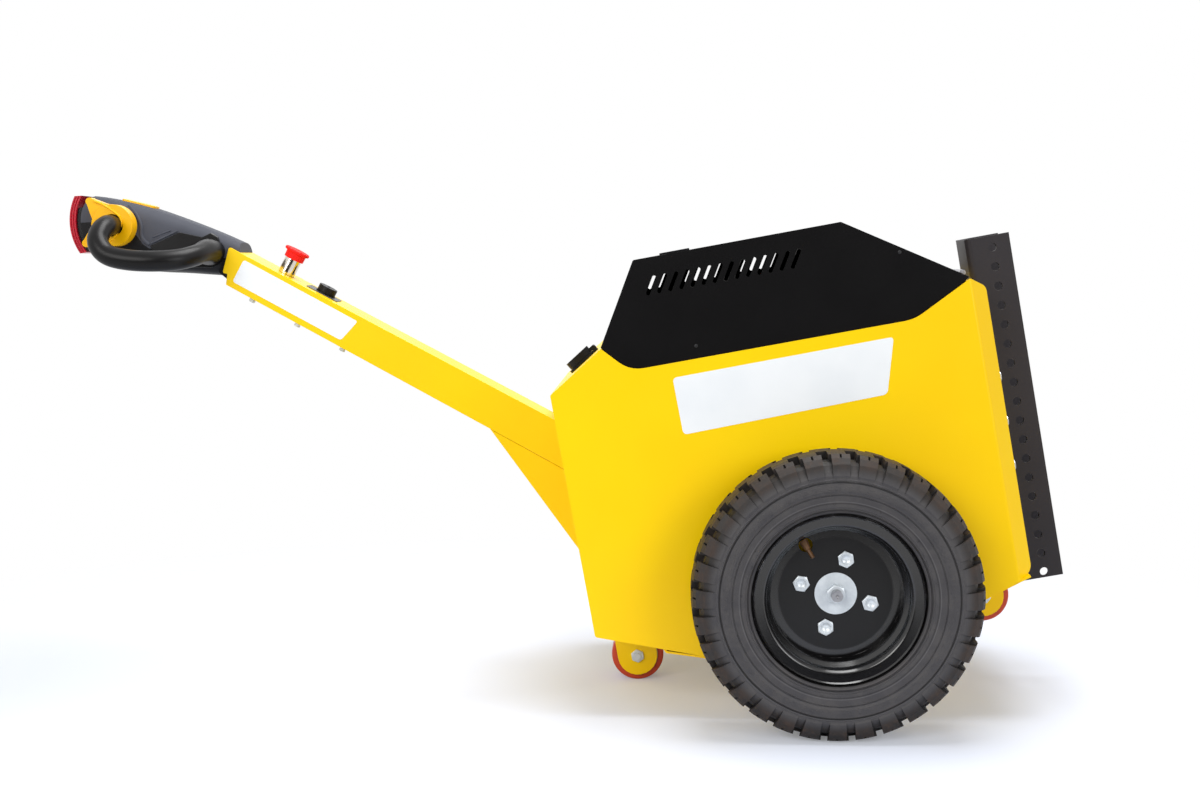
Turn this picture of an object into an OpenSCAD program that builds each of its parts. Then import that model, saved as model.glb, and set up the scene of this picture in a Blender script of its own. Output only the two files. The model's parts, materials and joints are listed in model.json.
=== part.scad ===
/* [Stance] */
// Gap between the body's side and the tyre
tyre_gap = 15; // [12:1:40]
// Rear castor axle behind the main axle, along the body
castor_back = 304; // [290:1:310]
// Castor axles below the main axle, square to the body
castor_drop = 108.4; // [105:0.2:112]

/* [Body] */
// Width over the two side panels
body_w = 454; // [430:2:456]
// Thickness of the folded sheet
sheet_t = 3; // [2:0.5:4]
// Rear wall behind the main axle
body_back = 348; // [340:1:356]
// Front wall ahead of the main axle
body_front = 290; // [286:1:292]
// Top of the rear wall above the axle
rear_top_z = 338; // [330:1:344]
// Sloping rear face ends this far behind the axle
slope_end_back = 264.5; // [258:0.5:270]
// Sloping rear face ends this high above the axle
slope_end_z = 391; // [386:1:395]
// Flat edge of the panels that the lid sits in
sill_z = 353; // [345:1:358]
// Highest point of the panels, at the lid hinge
peak_z = 396; // [392:1:400]
// Upright fold line of the front flange ahead of the axle
crease_x = 266; // [262:1:268]
// How far the front flange turns in
flange_in = 22; // [16:1:26]
// Depth of the body's flat bottom below the axle
belly_drop = 80; // [78:1:86]
// Height of the rear wall's foot below the axle
foot_drop = 20; // [14:1:26]
// Depth of the front corner below the axle
toe_drop = 36; // [32:1:42]

/* [Lid] */
// Height of the lid's flat top above the axle
lid_top_z = 507; // [490:1:520]
// Rear edge of the lid's flat top behind the axle
lid_top_back = 197; // [185:1:210]
// Front edge of the lid's flat top ahead of the axle
lid_top_front = 101; // [90:1:112]
// Cooling slots in each side
slot_count = 14; // [8:1:14]
// Spacing of the cooling slots
slot_pitch = 16; // [14:0.5:16]
// Height of a cooling slot
slot_h = 25; // [18:1:28]
// Width of a cooling slot
slot_w = 5.5; // [4:0.5:6.5]
// Forward lean of the slots, degrees
slot_lean = 31; // [20:1:35]
// Radius of the hinge knuckles
knuckle_r = 4.5; // [4:0.1:5]
// Length of each lid hinge
hinge_l = 80; // [60:2:100]

/* [Arm] */
// Width of the box-section arm
arm_w = 80; // [74:1:90]
// Horizontal reach of the arm from the rear wall
arm_reach = 466; // [440:2:480]
// Rise of the arm over that reach
arm_rise = 368; // [350:2:380]
// Height of the arm's top edge where it meets the wall
arm_root_z = 272.9; // [268:0.5:280]
// Depth of the arm at the wall, measured upright
arm_root_h = 79; // [74:1:84]
// Depth of the arm at its upper end, square to its top
arm_tip_h = 59; // [54:1:62]
// Length of the gusset along the rear wall
gusset_drop = 149; // [120:1:160]
// Length of the gusset along the arm, level
gusset_reach = 118; // [90:1:130]

/* [Tiller head] */
// Length of the head from nose to tail
head_l = 246; // [236:1:256]
// Height of the head over all
head_h = 164; // [156:1:170]
// Width of the head at the thumb wheels
head_w = 104; // [98:1:110]
// Radius of the grip tube
grip_r = 16.5; // [14:0.5:17.5]
// How far the grips stand out from the centre
grip_out = 148; // [136:1:160]
// Fall of the grips below the thumb wheels
grip_fall = 74; // [70:1:80]
// Length of a grip loop
grip_l = 135; // [128:1:140]
// Radius of a thumb wheel
wheel_ring_r = 32; // [28:1:34]
// Thickness of a thumb wheel
wheel_ring_t = 22; // [16:1:24]
// Travel of the reversing button in the nose
belly_travel = 8; // [5:0.5:9]
// Thickness of the reversing button's crescent
belly_t = 18; // [14:1:20]

/* [Controls] */
// Diameter of the stop button's mushroom
stop_d = 40; // [36:1:44]
// Height of the stop button's chromed barrel
stop_barrel_h = 31; // [24:1:34]
// Diameter of that barrel
stop_barrel_d = 27; // [24:1:30]
// Distance of the stop button from the arm's upper end
stop_at = 90; // [82:1:100]
// Distance of the key switch from the arm's upper end
key_at = 159.5; // [150:1:170]
// Diameter of the key switch's turning cap
key_d = 30; // [26:1:32]

/* [Main wheels] */
// Outside diameter of the tyres
tyre_d = 404; // [400:1:408]
// Width of the tyres
tyre_w = 104; // [98:1:110]
// Height of the tread lugs
tread_h = 10; // [6:1:12]
// Lugs on each shoulder
lug_count = 32; // [24:1:36]
// Diameter of the rim's bead seat
rim_d = 203.2; // [196:0.2:208]
// Diameter over the rim flanges
rim_flange_d = 238; // [234:1:240]
// Width over the rim flanges
rim_w = 86; // [80:1:88]
// Thickness of the wheel disc
disc_t = 5; // [4:0.5:6]
// Pitch circle of the wheel bolts
wheel_pcd = 100; // [94:1:108]
// Number of wheel bolts
wheel_bolt_count = 4; // [3:1:6]
// Thread diameter of the wheel bolts
wheel_bolt_d = 12; // [10:1:14]
// Diameter of the axle washer
axle_washer_d = 59; // [56:1:66]
// Diameter of the driven axle shafts
shaft_d = 30; // [25:1:32]

/* [Castors] */
// Diameter of the castor rollers
roller_d = 82; // [76:1:90]
// Width of the rollers
roller_w = 40; // [32:1:44]
// Thickness of a roller's tread
roller_tread = 9; // [6:1:12]
// Front castor axle ahead of the main axle
castor_front = 247; // [235:1:250]
// Thickness of a castor's cheek
cheek_t = 6; // [4:0.5:8]
// Thread diameter of the castor bolts
castor_bolt_d = 12; // [10:1:14]

/* [Mast] */
// Width of the mast channel
mast_w = 80; // [72:1:90]
// Depth of the mast channel
mast_d = 67; // [60:1:72]
// Thickness of the mast channel
mast_t = 6; // [4:0.5:8]
// Top of the mast above the axle
mast_top_z = 446; // [430:1:460]
// Foot of the mast below the axle
mast_foot_drop = 91; // [84:1:96]
// Distance between the front wall and the mast
mast_gap = 14; // [10:1:16]
// Diameter of the pin holes
pin_hole_d = 13; // [11:0.5:14]
// Spacing of the pin holes
pin_pitch = 30; // [26:0.5:30]
// Number of pin holes in each flange
pin_count = 18; // [10:1:18]
// Spacing of the mast bolts
mast_bolt_pitch = 72; // [60:1:80]

/* [Inside] */
// Length of a battery
battery_l = 260; // [230:1:270]
// Width of a battery
battery_w = 168; // [150:1:174]
// Height of a battery
battery_h = 215; // [180:1:225]
// Diameter of the drive motor
motor_d = 112; // [96:1:120]
// Length of the drive motor
motor_l = 130; // [110:1:135]
// Diameter of the gear case
case_d = 144; // [130:1:146]
// Diameter of the parking brake
brake_d = 92; // [80:1:104]
// Thickness of the parking brake
brake_t = 32; // [26:1:34]

/* [Hidden] */
$fn = 64;
// gap between pieces that sit against each other
seat = 0.1;
// gap round pieces that must not touch while one of them moves
free = 0.4;
// radial clearance of a turning shaft or bolt
run = 0.05;
// overrun of a cut past the face it opens
over = 1;
wheel_r = tyre_d / 2;
roller_r = roller_d / 2;
half_w = body_w / 2;
track_w = body_w + 2 * tyre_gap + tyre_w;
inner_w = half_w - sheet_t;
castor_arm = norm([castor_back, castor_drop]);
tilt = asin((wheel_r - roller_r) / castor_arm) - atan2(castor_drop, castor_back);
mast_x = body_front + mast_gap;
tip = [-body_back - arm_reach, arm_root_z + arm_rise];
arm_angle = atan2(arm_rise, arm_reach);
tip_lean = 22;
tip_foot = tip - arm_tip_h * [sin(arm_angle - tip_lean), cos(arm_angle - tip_lean)];
head_tail = 15;
head_foot_drop = 44;
head_tail_x = tip[0] + head_tail;
head_foot_z = tip[1] - head_foot_drop;
thumb = [head_tail_x - 0.72 * head_l, head_foot_z + 0.652 * head_h];
nose_arc = [head_tail_x - 0.663 * head_l, head_foot_z + 0.677 * head_h];
nose_r = 71;
nose_x = nose_arc[0] - nose_r - belly_t;
nose_z = nose_arc[1];
function to_floor_x(p) = p[0] * cos(tilt) - p[1] * sin(tilt);
function to_floor_z(p) = p[0] * sin(tilt) + p[1] * cos(tilt) + wheel_r;
front_end = to_floor_x([mast_x + mast_d, -mast_foot_drop]);
rear_end = to_floor_x([nose_x, nose_z]);
axle_x = -(front_end + rear_end) / 2;

// Outlines are lists of points with the radius of each corner; sheets are folded lines given a thickness
function unit(v) = v / norm(v);
function corner(a, p, b, r, n = 5) =
    r == 0 ? [p] : let(
        u = unit(a - p), v = unit(b - p),
        angle = acos(u * v),
        c = p + unit(u + v) * r / sin(angle / 2),
        from = p + u * r / tan(angle / 2) - c,
        to = p + v * r / tan(angle / 2) - c,
        turn = cross(from, to) > 0 ? 180 - angle : angle - 180,
        start = atan2(from[1], from[0])
    ) [for (i = [0:n]) c + r * [cos(start + turn * i / n), sin(start + turn * i / n)]];
function rounded(points, radii) = [
    for (i = [0:len(points) - 1])
        each corner(points[(i + len(points) - 1) % len(points)], points[i],
            points[(i + 1) % len(points)], radii[i])
];
function bent(points, r) = [
    for (i = [0:len(points) - 1])
        each i == 0 || i == len(points) - 1 ? [points[i]]
            : corner(points[i - 1], points[i], points[i + 1], r)
];
function left_of(a, b) = let(d = unit(b - a)) [-d[1], d[0]];
function shifted(points, t) = [
    for (i = [0:len(points) - 1]) let(
        m = i == 0 ? left_of(points[0], points[1]) : left_of(points[i - 1], points[i]),
        n = i == len(points) - 1 ? m : left_of(points[i], points[i + 1])
    ) points[i] + t * (m + n) / (1 + m * n)
];
function reversed(points) = [for (i = [len(points) - 1:-1:0]) points[i]];
function folded(points, t) = concat(points, reversed(shifted(points, t)));
function mirrored(points) = [for (p = points) [p[0], -p[1]]];
function line_z(a, b, x) = a[1] + (b[1] - a[1]) * (x - a[0]) / (b[0] - a[0]);

module in_body() translate([axle_x, 0, wheel_r]) rotate([0, -tilt, 0]) children();
module both_sides() { children(); mirror([0, 1, 0]) children(); }
module side_plate(points, y0, y1)
    translate([0, y1, 0]) rotate([90, 0, 0]) linear_extrude(y1 - y0) polygon(points);
module cross_rod(p, r, y0, y1)
    translate([p[0], y1, p[1]]) rotate([90, 0, 0]) cylinder(r = r, h = y1 - y0);
module hex(width, h) cylinder(d = width / cos(30), h = h, $fn = 6);

// Body shell
belly_rear_run = 165;
belly_front_run = 140;
brow_drop = 16;
axle_hole_gap = 6;
corner_r = 4;
belly_r = 20;
sill_front_r = 60;
sill_rear_r = 45;
side_points = [
    [-body_back, -foot_drop], [-body_back + belly_rear_run, -belly_drop],
    [body_front - belly_front_run, -belly_drop],
    [body_front, -toe_drop], [body_front, peak_z - brow_drop], [crease_x, peak_z],
    [crease_x - 2 * (peak_z - sill_z), sill_z],
    [-slope_end_back + 0.93 * (slope_end_z - sill_z), sill_z],
    [-slope_end_back, slope_end_z], [-body_back, rear_top_z]
];
side_radii = [corner_r, belly_r, belly_r, 0.7 * belly_r, 0.6 * belly_r, 0.75 * corner_r,
    sill_front_r, sill_rear_r, corner_r / 2, 0.75 * corner_r];

module side_panel() {
    plan = bent([[-body_back - over, -half_w], [crease_x, -half_w],
        [body_front + over, -half_w + flange_in * (1 + over / (body_front - crease_x))]], 2 * sheet_t);
    color("gold") difference() {
        intersection() {
            translate([0, 0, -body_back]) linear_extrude(3 * body_back) polygon(folded(plan, sheet_t));
            side_plate(rounded(side_points, side_radii), -half_w - over, 0);
        }
        cross_rod([0, 0], shaft_d / 2 + axle_hole_gap, -half_w - over, -inner_w + over);
    }
}

lip_l = 10;
module rear_panel() {
    slope_end = [-slope_end_back, slope_end_z];
    face = bent([[-body_back, -foot_drop + sheet_t], [-body_back, rear_top_z], slope_end], 1.5 * sheet_t);
    lip = bent([[-body_back, rear_top_z], slope_end, slope_end + lip_l * [0.94, -0.34]], 1.5 * sheet_t);
    color("gold") difference() {
        union() {
            intersection() {
                side_plate(folded(face, -sheet_t), -inner_w + seat, inner_w - seat);
                translate([-body_back - over, -half_w, -body_back])
                    cube([body_back - slope_end_back - sheet_t / 2, body_w, 3 * body_back]);
            }
            side_plate(folded(lip, -sheet_t), -inner_w + 2 * sheet_t, inner_w - 2 * sheet_t);
        }
        at_socket() translate([0, 0, -2 * sheet_t]) cylinder(d = socket_d + 2 * seat, h = 4 * sheet_t);
    }
}

module front_panel() {
    w = half_w - flange_in - sheet_t - seat;
    face = bent([[body_front, -toe_drop + 4 * sheet_t], [body_front, peak_z - brow_drop - sheet_t],
        [crease_x + sheet_t, peak_z - sheet_t]], 2 * sheet_t);
    color("gold") difference() {
        side_plate(folded(face, sheet_t), -w, w);
        at_mast_bolts() translate([0, 0, -body_front])
            cylinder(d = mast_bolt_d + 2 * run, h = 2 * body_front);
    }
}

joggle_at = 92;
joggle_l = 5;
pan_low = shifted([[-body_back + belly_rear_run, -belly_drop], [body_front - belly_front_run, -belly_drop],
    [body_front, -toe_drop]], -sheet_t - seat);
pan_end = body_front - 2 * sheet_t;
pan_front = [pan_low[1], [pan_end, line_z(pan_low[1], pan_low[2], pan_end)]];
module floor_pan() {
    edge = sheet_t + free;
    slope = (belly_drop - foot_drop) / belly_rear_run;
    low = joggle_at + joggle_l;
    line = [[-body_back + edge, -foot_drop - slope * edge + edge],
        [-body_back + joggle_at, -foot_drop - slope * joggle_at + edge],
        [-body_back + low, -foot_drop - slope * low - 2 * sheet_t],
        pan_low[0], pan_front[0], pan_front[1]];
    color("gold") side_plate(folded(line, sheet_t), -inner_w + seat, inner_w - seat);
}

// Lid
lid_rear_gap = 1.5;
lid_front_gap = 2.5;
lid_rear_foot = [-slope_end_back, slope_end_z + lid_rear_gap];
lid_front_foot = [crease_x, peak_z + lid_front_gap];
lid_line = [lid_rear_foot, [-lid_top_back, lid_top_z], [lid_top_front, lid_top_z], lid_front_foot];
lid_bend = 4;
lid_depth = 12;
slot_drop = 51;
slot_inset = 9.4;
lid_slot_z = lid_top_z - slot_drop;
lid_slot_x = -lid_top_back + slot_inset;

module lid_shell() {
    skin = bent(lid_line, lid_bend);
    under = shifted(skin, -sheet_t);
    hem = [[crease_x - 1.33 * lid_depth, peak_z - 0.75 * lid_depth],
        [crease_x - 2 * (peak_z - sill_z) - 0.67 * lid_depth, sill_z - lid_depth],
        [-slope_end_back + 0.93 * (slope_end_z - sill_z) + 0.5 * lid_depth, sill_z - lid_depth],
        [-slope_end_back + lid_depth, slope_end_z - 1.33 * lid_depth]];
    w = inner_w - free;
    color("#1a1a1c") difference() {
        side_plate(concat(skin, hem), -w, w);
        side_plate(concat(under, [lid_front_foot + [body_front, -seat], [body_front, 0], [-body_back, 0],
            lid_rear_foot - [body_back, seat]]), -w + sheet_t, w - sheet_t);
        for (i = [0:slot_count - 1])
            translate([lid_slot_x + i * slot_pitch, 0, lid_slot_z]) rotate([0, slot_lean, 0])
                side_plate(rounded([[0, 0], [slot_w, 0], [slot_w, slot_h / cos(slot_lean)],
                    [0, slot_h / cos(slot_lean)]], [1, 1, 1, 1] * slot_w / 2.2), -half_w, half_w);
    }
}

pull_at = 62;
pull_l = 46;
pull_w = 140;
pull_h = 3;
module lid_grip() {
    at = -lid_top_back + pull_at;
    color("#1a1a1c") difference() {
        translate([at - pull_l / 2, 0, lid_top_z + seat])
            linear_extrude(pull_h) polygon(rounded([[0, -pull_w / 2], [pull_l, -pull_w / 2],
                [pull_l, pull_w / 2], [0, pull_w / 2]], [1, 1, 1, 1] * pull_h * 2));
        translate([at - pull_l / 4, -pull_w / 2 + 3 * pull_h, lid_top_z + 2 * pull_h / 3])
            cube([pull_l / 2, pull_w - 6 * pull_h, pull_h]);
    }
}

// Hinges: the knuckles lie on the outside of the corner between the lid and the front wall
hinge_stand = 1.3;
hinge_side_share = [0.59, 0.807];
hinge_axis = lid_front_foot + (knuckle_r + hinge_stand) * hinge_side_share;
leaf_t = 2;
leaf_l = 20;
hinge_pin_d = 4;
hinge_at = 120;
lid_fall = unit(lid_front_foot - [lid_top_front, lid_top_z]);
brow_fall = unit([body_front, peak_z - brow_drop - sheet_t] - [crease_x + sheet_t, peak_z - sheet_t]);

module hinge_leaf(face_point, fall, knuckles) {
    up = [-fall[1], fall[0]];
    foot = face_point + up * seat;
    below = foot + fall * (fall * (hinge_axis - foot));
    raised = (hinge_axis - below) * up > knuckle_r + leaf_t;
    near = raised ? below + (knuckle_r - leaf_t) * fall : below;
    far = foot + (raised ? leaf_l : -leaf_l) * fall;
    difference() {
        for (side = [-1, 1]) {
            for (k = knuckles) {
                y = side * hinge_at - hinge_l / 2 + k * hinge_l / 3 + (k > 0 ? free : 0);
                h = hinge_l / 3 - (k > 0 ? free : 0);
                cross_rod(hinge_axis, knuckle_r, y, y + h);
                side_plate([near, far, far + leaf_t * up, near + leaf_t * up], y, y + h);
                if (raised) side_plate([hinge_axis + knuckle_r * fall,
                    hinge_axis + (knuckle_r - leaf_t) * fall, near, near + leaf_t * fall], y, y + h);
            }
            side_plate([far, far + leaf_t * up, far + leaf_t * up + 0.45 * (near - far),
                far + 0.45 * (near - far)],
                side * hinge_at - hinge_l / 2, side * hinge_at + hinge_l / 2);
        }
        cross_rod(hinge_axis, hinge_pin_d / 2 + run, -half_w, half_w);
    }
}

module lid_hinge_leaf() color("silver") hinge_leaf(lid_front_foot, lid_fall, [1]);
module body_hinge_leaf()
    color("silver") hinge_leaf([crease_x + sheet_t, peak_z - sheet_t], brow_fall, [0, 2]);
module hinge_pins()
    color("silver") for (side = [-1, 1])
        cross_rod(hinge_axis, hinge_pin_d / 2, side * hinge_at - hinge_l / 2 - sheet_t,
            side * hinge_at + hinge_l / 2 + sheet_t);

// Arm
arm_under = tip_foot;
wall = -body_back - seat;
mouth_l = 42;
mouth_step = [7, -3];
mouth_lean_share = [0.43, 0.9];
mouth_foot = tip - mouth_l * mouth_lean_share;
arm_line = [[wall, line_z([-body_back, arm_root_z], tip, wall)], tip,
    mouth_foot, mouth_foot + mouth_step, arm_under,
    [wall, line_z([-body_back, arm_root_z - arm_root_h], arm_under, wall)]];

module arm_beam() {
    under = arm_under + 3 * over * [-1, -1];
    inner_top = shifted([arm_line[0], tip], sheet_t);
    color("gold") difference() {
        side_plate(rounded(arm_line, [0, 3, 3, 1, 2, 0] * sheet_t / 3), -arm_w / 2, arm_w / 2);
        side_plate([inner_top[0] + [over, -over],
            inner_top[1] + arm_w * (inner_top[1] - inner_top[0]) / arm_reach,
            under - arm_w * [1, 0], under - [0, arm_w], [wall + over, arm_line[5][1] - arm_w]],
            -arm_w / 2 + sheet_t, arm_w / 2 - sheet_t);
        on_arm(stop_at) translate([0, 0, -2 * sheet_t])
            cylinder(d = stop_neck_d + 2 * seat, h = 4 * sheet_t);
        on_arm(key_at) translate([0, 0, -2 * sheet_t]) cylinder(d = key_neck_d + 2 * seat, h = 4 * sheet_t);
    }
}

module on_arm(at)
    translate([tip[0] + at * cos(arm_angle), 0, tip[1] - at * sin(arm_angle)])
        rotate([0, arm_angle, 0]) children();

cover_root = [wall, arm_line[5][1]];
cover_fall = atan2(arm_under[1] - cover_root[1], cover_root[0] - arm_under[0]);
cover_t = 2;
cover_inset = 8;
cover_screw_first = 39;
cover_screw_pitch = 81;
cover_screw_count = 3;
cover_screw_d = 7;

module under_arm(at)
    translate([arm_under[0] + at * cos(cover_fall), 0, arm_under[1] - at * sin(cover_fall)])
        rotate([0, cover_fall, 0]) children();

module at_cover_screws()
    for (i = [0:cover_screw_count - 1]) under_arm(cover_screw_first + i * cover_screw_pitch) children();

module arm_bottom_cover() {
    length = norm(cover_root - arm_under) - gusset_reach - 1.5 * cover_inset;
    w = arm_w / 2 - sheet_t - seat;
    color("gold") difference() {
        under_arm(cover_inset) translate([0, -w, 0]) cube([length, 2 * w, cover_t]);
        at_cover_screws() translate([0, 0, -over])
            cylinder(d = cover_screw_d + 2 * run, h = cover_t + 2 * over);
    }
}

module arm_cover_screws()
    color("silver") at_cover_screws() {
        translate([0, 0, -cover_screw_d]) cylinder(d = cover_screw_d, h = 2.5 * cover_screw_d);
        translate([0, 0, cover_t + seat]) hex(1.6 * cover_screw_d, 0.8 * cover_screw_d);
    }

module arm_gusset() {
    root = arm_root_z - arm_root_h;
    slope = [arm_under, [-body_back, root]];
    outer = [[wall, line_z(slope[0], slope[1], wall) - free],
        [wall - gusset_reach, line_z(slope[0], slope[1], wall - gusset_reach) - free],
        [wall, root - gusset_drop]];
    edge = shifted([outer[2], outer[1]], -sheet_t);
    color("gold") difference() {
        side_plate(outer, -arm_w / 2, arm_w / 2);
        side_plate([edge[0] + [over, -over], edge[1] + arm_w * unit(edge[1] - edge[0]),
            [wall + over, arm_root_z]], -arm_w / 2 + sheet_t, arm_w / 2 - sheet_t);
    }
}

// Tiller head, lofted through sections: place along the head, top, foot and half width as shares
section_shares = [
    [0.00, 0.293, 0.018, 0.70], [0.09, 0.388, 0.000, 0.70], [0.21, 0.503, 0.037, 0.76],
    [0.37, 0.647, 0.098, 0.86], [0.53, 0.780, 0.152, 0.95], [0.70, 0.893, 0.226, 1.00],
    [0.86, 0.982, 0.323, 0.98], [1.02, 1.042, 0.470, 0.89]
];
head_rings = 20;
head_sides = 24;
head_square = 3.4;
function spline(table, t) = let(
        last = len(table) - 1, i = min(floor(t * last), last - 1), f = t * last - i,
        a = table[max(i - 1, 0)], b = table[i], c = table[i + 1], d = table[min(i + 2, last)]
    ) 0.5 * (2 * b + (c - a) * f + (2 * a - 5 * b + 4 * c - d) * f * f + (3 * b - a - 3 * c + d) * f * f * f);
function power(v, n) = sign(v) * pow(abs(v), n);
function ring(x, top, foot, w) = [
    for (j = [0:head_sides - 1]) let(a = 360 * (j + 0.5) / head_sides)
        [x, w * power(cos(a), 2 / head_square),
            (top + foot) / 2 + (top - foot) / 2 * power(sin(a), 2 / head_square)]
];
function head_ring(t, grow) = let(s = spline(section_shares, t)) ring(
    head_tail_x - s[0] * head_l, head_foot_z + s[1] * head_h + grow,
    head_foot_z + s[2] * head_h - grow, s[3] * head_w / 2 + grow);
function tube_faces(n, m) = concat(
    [for (i = [0:n - 2], j = [0:m - 1], k = [0, 1]) k == 0
        ? [i * m + j, i * m + (j + 1) % m, (i + 1) * m + j]
        : [i * m + (j + 1) % m, (i + 1) * m + (j + 1) % m, (i + 1) * m + j]],
    [[for (j = [m - 1:-1:0]) j]], [[for (j = [0:m - 1]) (n - 1) * m + j]]);

module head_form(grow = 0)
    polyhedron([for (i = [0:head_rings]) each head_ring(i / head_rings, grow)],
        tube_faces(head_rings + 1, head_sides));

pocket_wall = 9;
pocket_depth = 40;
pocket_w = head_w - 2 * pocket_wall;
pocket_h = 0.42 * head_h;
split_shares = [[1.20, 0.80], [0.87, 0.726], [0.715, 0.652], [0.63, 0.585], [0.585, 0.439], [0.553, 0.39],
    [0.122, 0.183], [-0.2, 0]];
split_line = [for (s = split_shares) [head_tail_x - s[0] * head_l, head_foot_z + s[1] * head_h]];

module head_upper_region(drop) {
    side_plate(concat([for (p = split_line) p - [0, drop]], [[head_tail_x + head_l, tip[1] + 2 * head_h],
        [head_tail_x - 2 * head_l, tip[1] + 2 * head_h]]), -head_w, head_w);
}

module head_cuts() {
    over_arm = concat([arm_line[0] + [0, seat]], [tip + [-0.4, 1] * 2 * seat],
        [tip - (mouth_l + sheet_t + over) * mouth_lean_share - [seat, 0]],
        [arm_under - [over, 0]], [arm_under - [over, over]], [arm_line[5] - [0, over]]);
    side_plate(over_arm, -head_w, head_w);
    both_sides() root_pocket();
}

module nose_limit() {
    cross_rod(nose_arc, nose_r, -head_w, head_w);
    translate([nose_arc[0], -head_w, tip[1] - 2 * head_h]) cube([2 * head_l, 2 * head_w, 4 * head_h]);
}

module root_pocket() {
    cross_rod(grip_root, grip_root_r + seat, -head_w, -grip_end + seat);
    cross_rod(thumb, grip_r + seat, -head_w, -grip_start + seat);
}

module belly_pocket(gap)
    translate([nose_x - belly_t, -pocket_w / 2 - gap, nose_z - pocket_h / 2 - gap])
        cube([belly_t + pocket_depth + gap, pocket_w + 2 * gap, pocket_h + 2 * gap]);

module head_shell()
    intersection() {
        head_form();
        nose_limit();
    }

module head_upper_shell()
    color("dimgray") difference() {
        intersection() {
            head_shell();
            head_upper_region(-seat / 2);
        }
        head_cuts();
        belly_pocket(free);
        horn_place() translate([0, 0, -2 * horn_sink]) horn_form(free, 4 * horn_sink);
    }

module head_lower_shell()
    color("#1c1c1e") {
        difference() {
            head_shell();
            head_upper_region(seat / 2);
            head_cuts();
            belly_pocket(free);
        }
        difference() {
            head_tongue();
            difference() {
                head_upper_region(seat / 2);
                head_cuts();
            }
        }
    }

// The lower shell's tongue plugs into the open end of the arm
module head_tongue() {
    w = arm_w / 2 - sheet_t - seat;
    inner = shifted([arm_line[0], tip], sheet_t + seat);
    depth = unit(inner[0] - inner[1]);
    foot = arm_under + arm_tip_h * [0.05, 0.14];
    side_plate([inner[1] + 0.7 * arm_tip_h * depth, inner[1] + 0.1 * arm_tip_h * depth,
        tip - arm_tip_h * [0.25, 0.34], tip - arm_tip_h * [0.42, 0.6],
        foot, foot + 0.5 * arm_tip_h * depth], -w, w);
}

// Grips: a tube swept through points given as shares of its length, reach and fall
grip_shares = [
    [0.00, 0.00, 0.00], [0.00, 0.18, 0.00], [0.00, 0.37, 0.00], [0.01, 0.57, 0.03], [-0.02, 0.75, 0.15],
    [-0.03, 0.90, 0.37], [0.06, 0.97, 0.64], [0.28, 1.00, 0.82], [0.56, 0.97, 0.94], [0.80, 0.83, 0.99],
    [0.94, 0.58, 0.95], [0.985, 0.30, 0.89], [0.985, 0.10, 0.89], [0.985, -0.105, 0.89]
];
grip_sides = 12;
grip_rings = 39;
grip_start = head_w / 2 - 2 * sheet_t;
grip_end = grip_start - 0.105 * (grip_out - grip_start);
grip_root = thumb + [0.985 * grip_l, -0.89 * grip_fall];
grip_root_r = 1.3 * grip_r;
function grip_point(t) = let(s = spline(grip_shares, t))
    [thumb[0] + s[0] * grip_l, -grip_start - s[1] * (grip_out - grip_start), thumb[1] - s[2] * grip_fall];
function grip_radius(t) = t < 0.8 ? grip_r : grip_r + (grip_root_r - grip_r) * min(1, (t - 0.8) / 0.12);
function grip_ring(i) = let(
        t = i / grip_rings,
        e = 0.004,
        p = grip_point(t),
        d = i == 0 || i == grip_rings ? [0, i == 0 ? -1 : 1, 0]
            : unit(grip_point(min(1, t + e)) - grip_point(max(0, t - e))),
        u = unit(cross(d, [0.7, 0, 0.71])), v = cross(d, u), r = grip_radius(t)
    ) [for (j = [0:grip_sides - 1]) p + r * (cos(360 * j / grip_sides) * u + sin(360 * j / grip_sides) * v)];

module grip()
    color("#1c1c1e") polyhedron([for (i = [0:grip_rings]) each grip_ring(i)],
        tube_faces(grip_rings + 1, grip_sides));

// Controls on the head
wing_angles = [124, 202];
wing_l = 57;
wing_tip_r = 6;

module thumb_wheel() {
    inner_y = head_w / 2 + free;
    color("gold") difference() {
        union() {
            cross_rod(thumb, wheel_ring_r, -inner_y - wheel_ring_t, -inner_y);
            for (a = wing_angles) {
                d = [cos(a), sin(a)];
                n = [-d[1], d[0]];
                end = thumb + (wing_l - wing_tip_r) * d;
                side_plate([thumb + 0.96 * wheel_ring_r * n, end + wing_tip_r * n, end - wing_tip_r * n,
                    thumb - 0.96 * wheel_ring_r * n], -inner_y - 0.8 * wheel_ring_t, -inner_y);
                cross_rod(end, wing_tip_r, -inner_y - 0.8 * wheel_ring_t, -inner_y);
            }
        }
        cross_rod(thumb, grip_r + free, -inner_y - wheel_ring_t - over, over);
    }
}

module thumb_wheels() both_sides() thumb_wheel();

belly_rib = 1.5;
module belly_button() {
    color("crimson") difference() {
        union() {
            intersection() {
                difference() {
                    cross_rod(nose_arc, nose_r + belly_t, -head_w, head_w);
                    cross_rod(nose_arc, nose_r + belly_travel + free, -head_w, head_w);
                }
                belly_face();
            }
            belly_stem();
        }
        for (r = [0.6, 0.8]) both_sides() difference() {
            cross_rod(nose_arc, nose_r + (r + 0.08) * belly_t, -head_w, -0.46 * head_w + belly_rib);
            cross_rod(nose_arc, nose_r + r * belly_t, -head_w - over, -0.46 * head_w + belly_rib + over);
        }
    }
}

module belly_face()
    side_plate([[nose_x - head_h, nose_z - 0.215 * head_h], [nose_arc[0], nose_z - 0.215 * head_h],
        [nose_arc[0], nose_z + 0.27 * head_h], [nose_x - head_h, nose_z + 0.455 * head_h]],
        -head_w * 0.46, head_w * 0.46);

module belly_stem()
    intersection() {
        translate([nose_x - belly_t, -pocket_w / 2, nose_z - pocket_h / 2])
            cube([belly_t + pocket_depth - belly_travel, pocket_w, pocket_h]);
        cross_rod(nose_arc, nose_r + 0.8 * belly_t, -head_w, head_w);
    }

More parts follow.
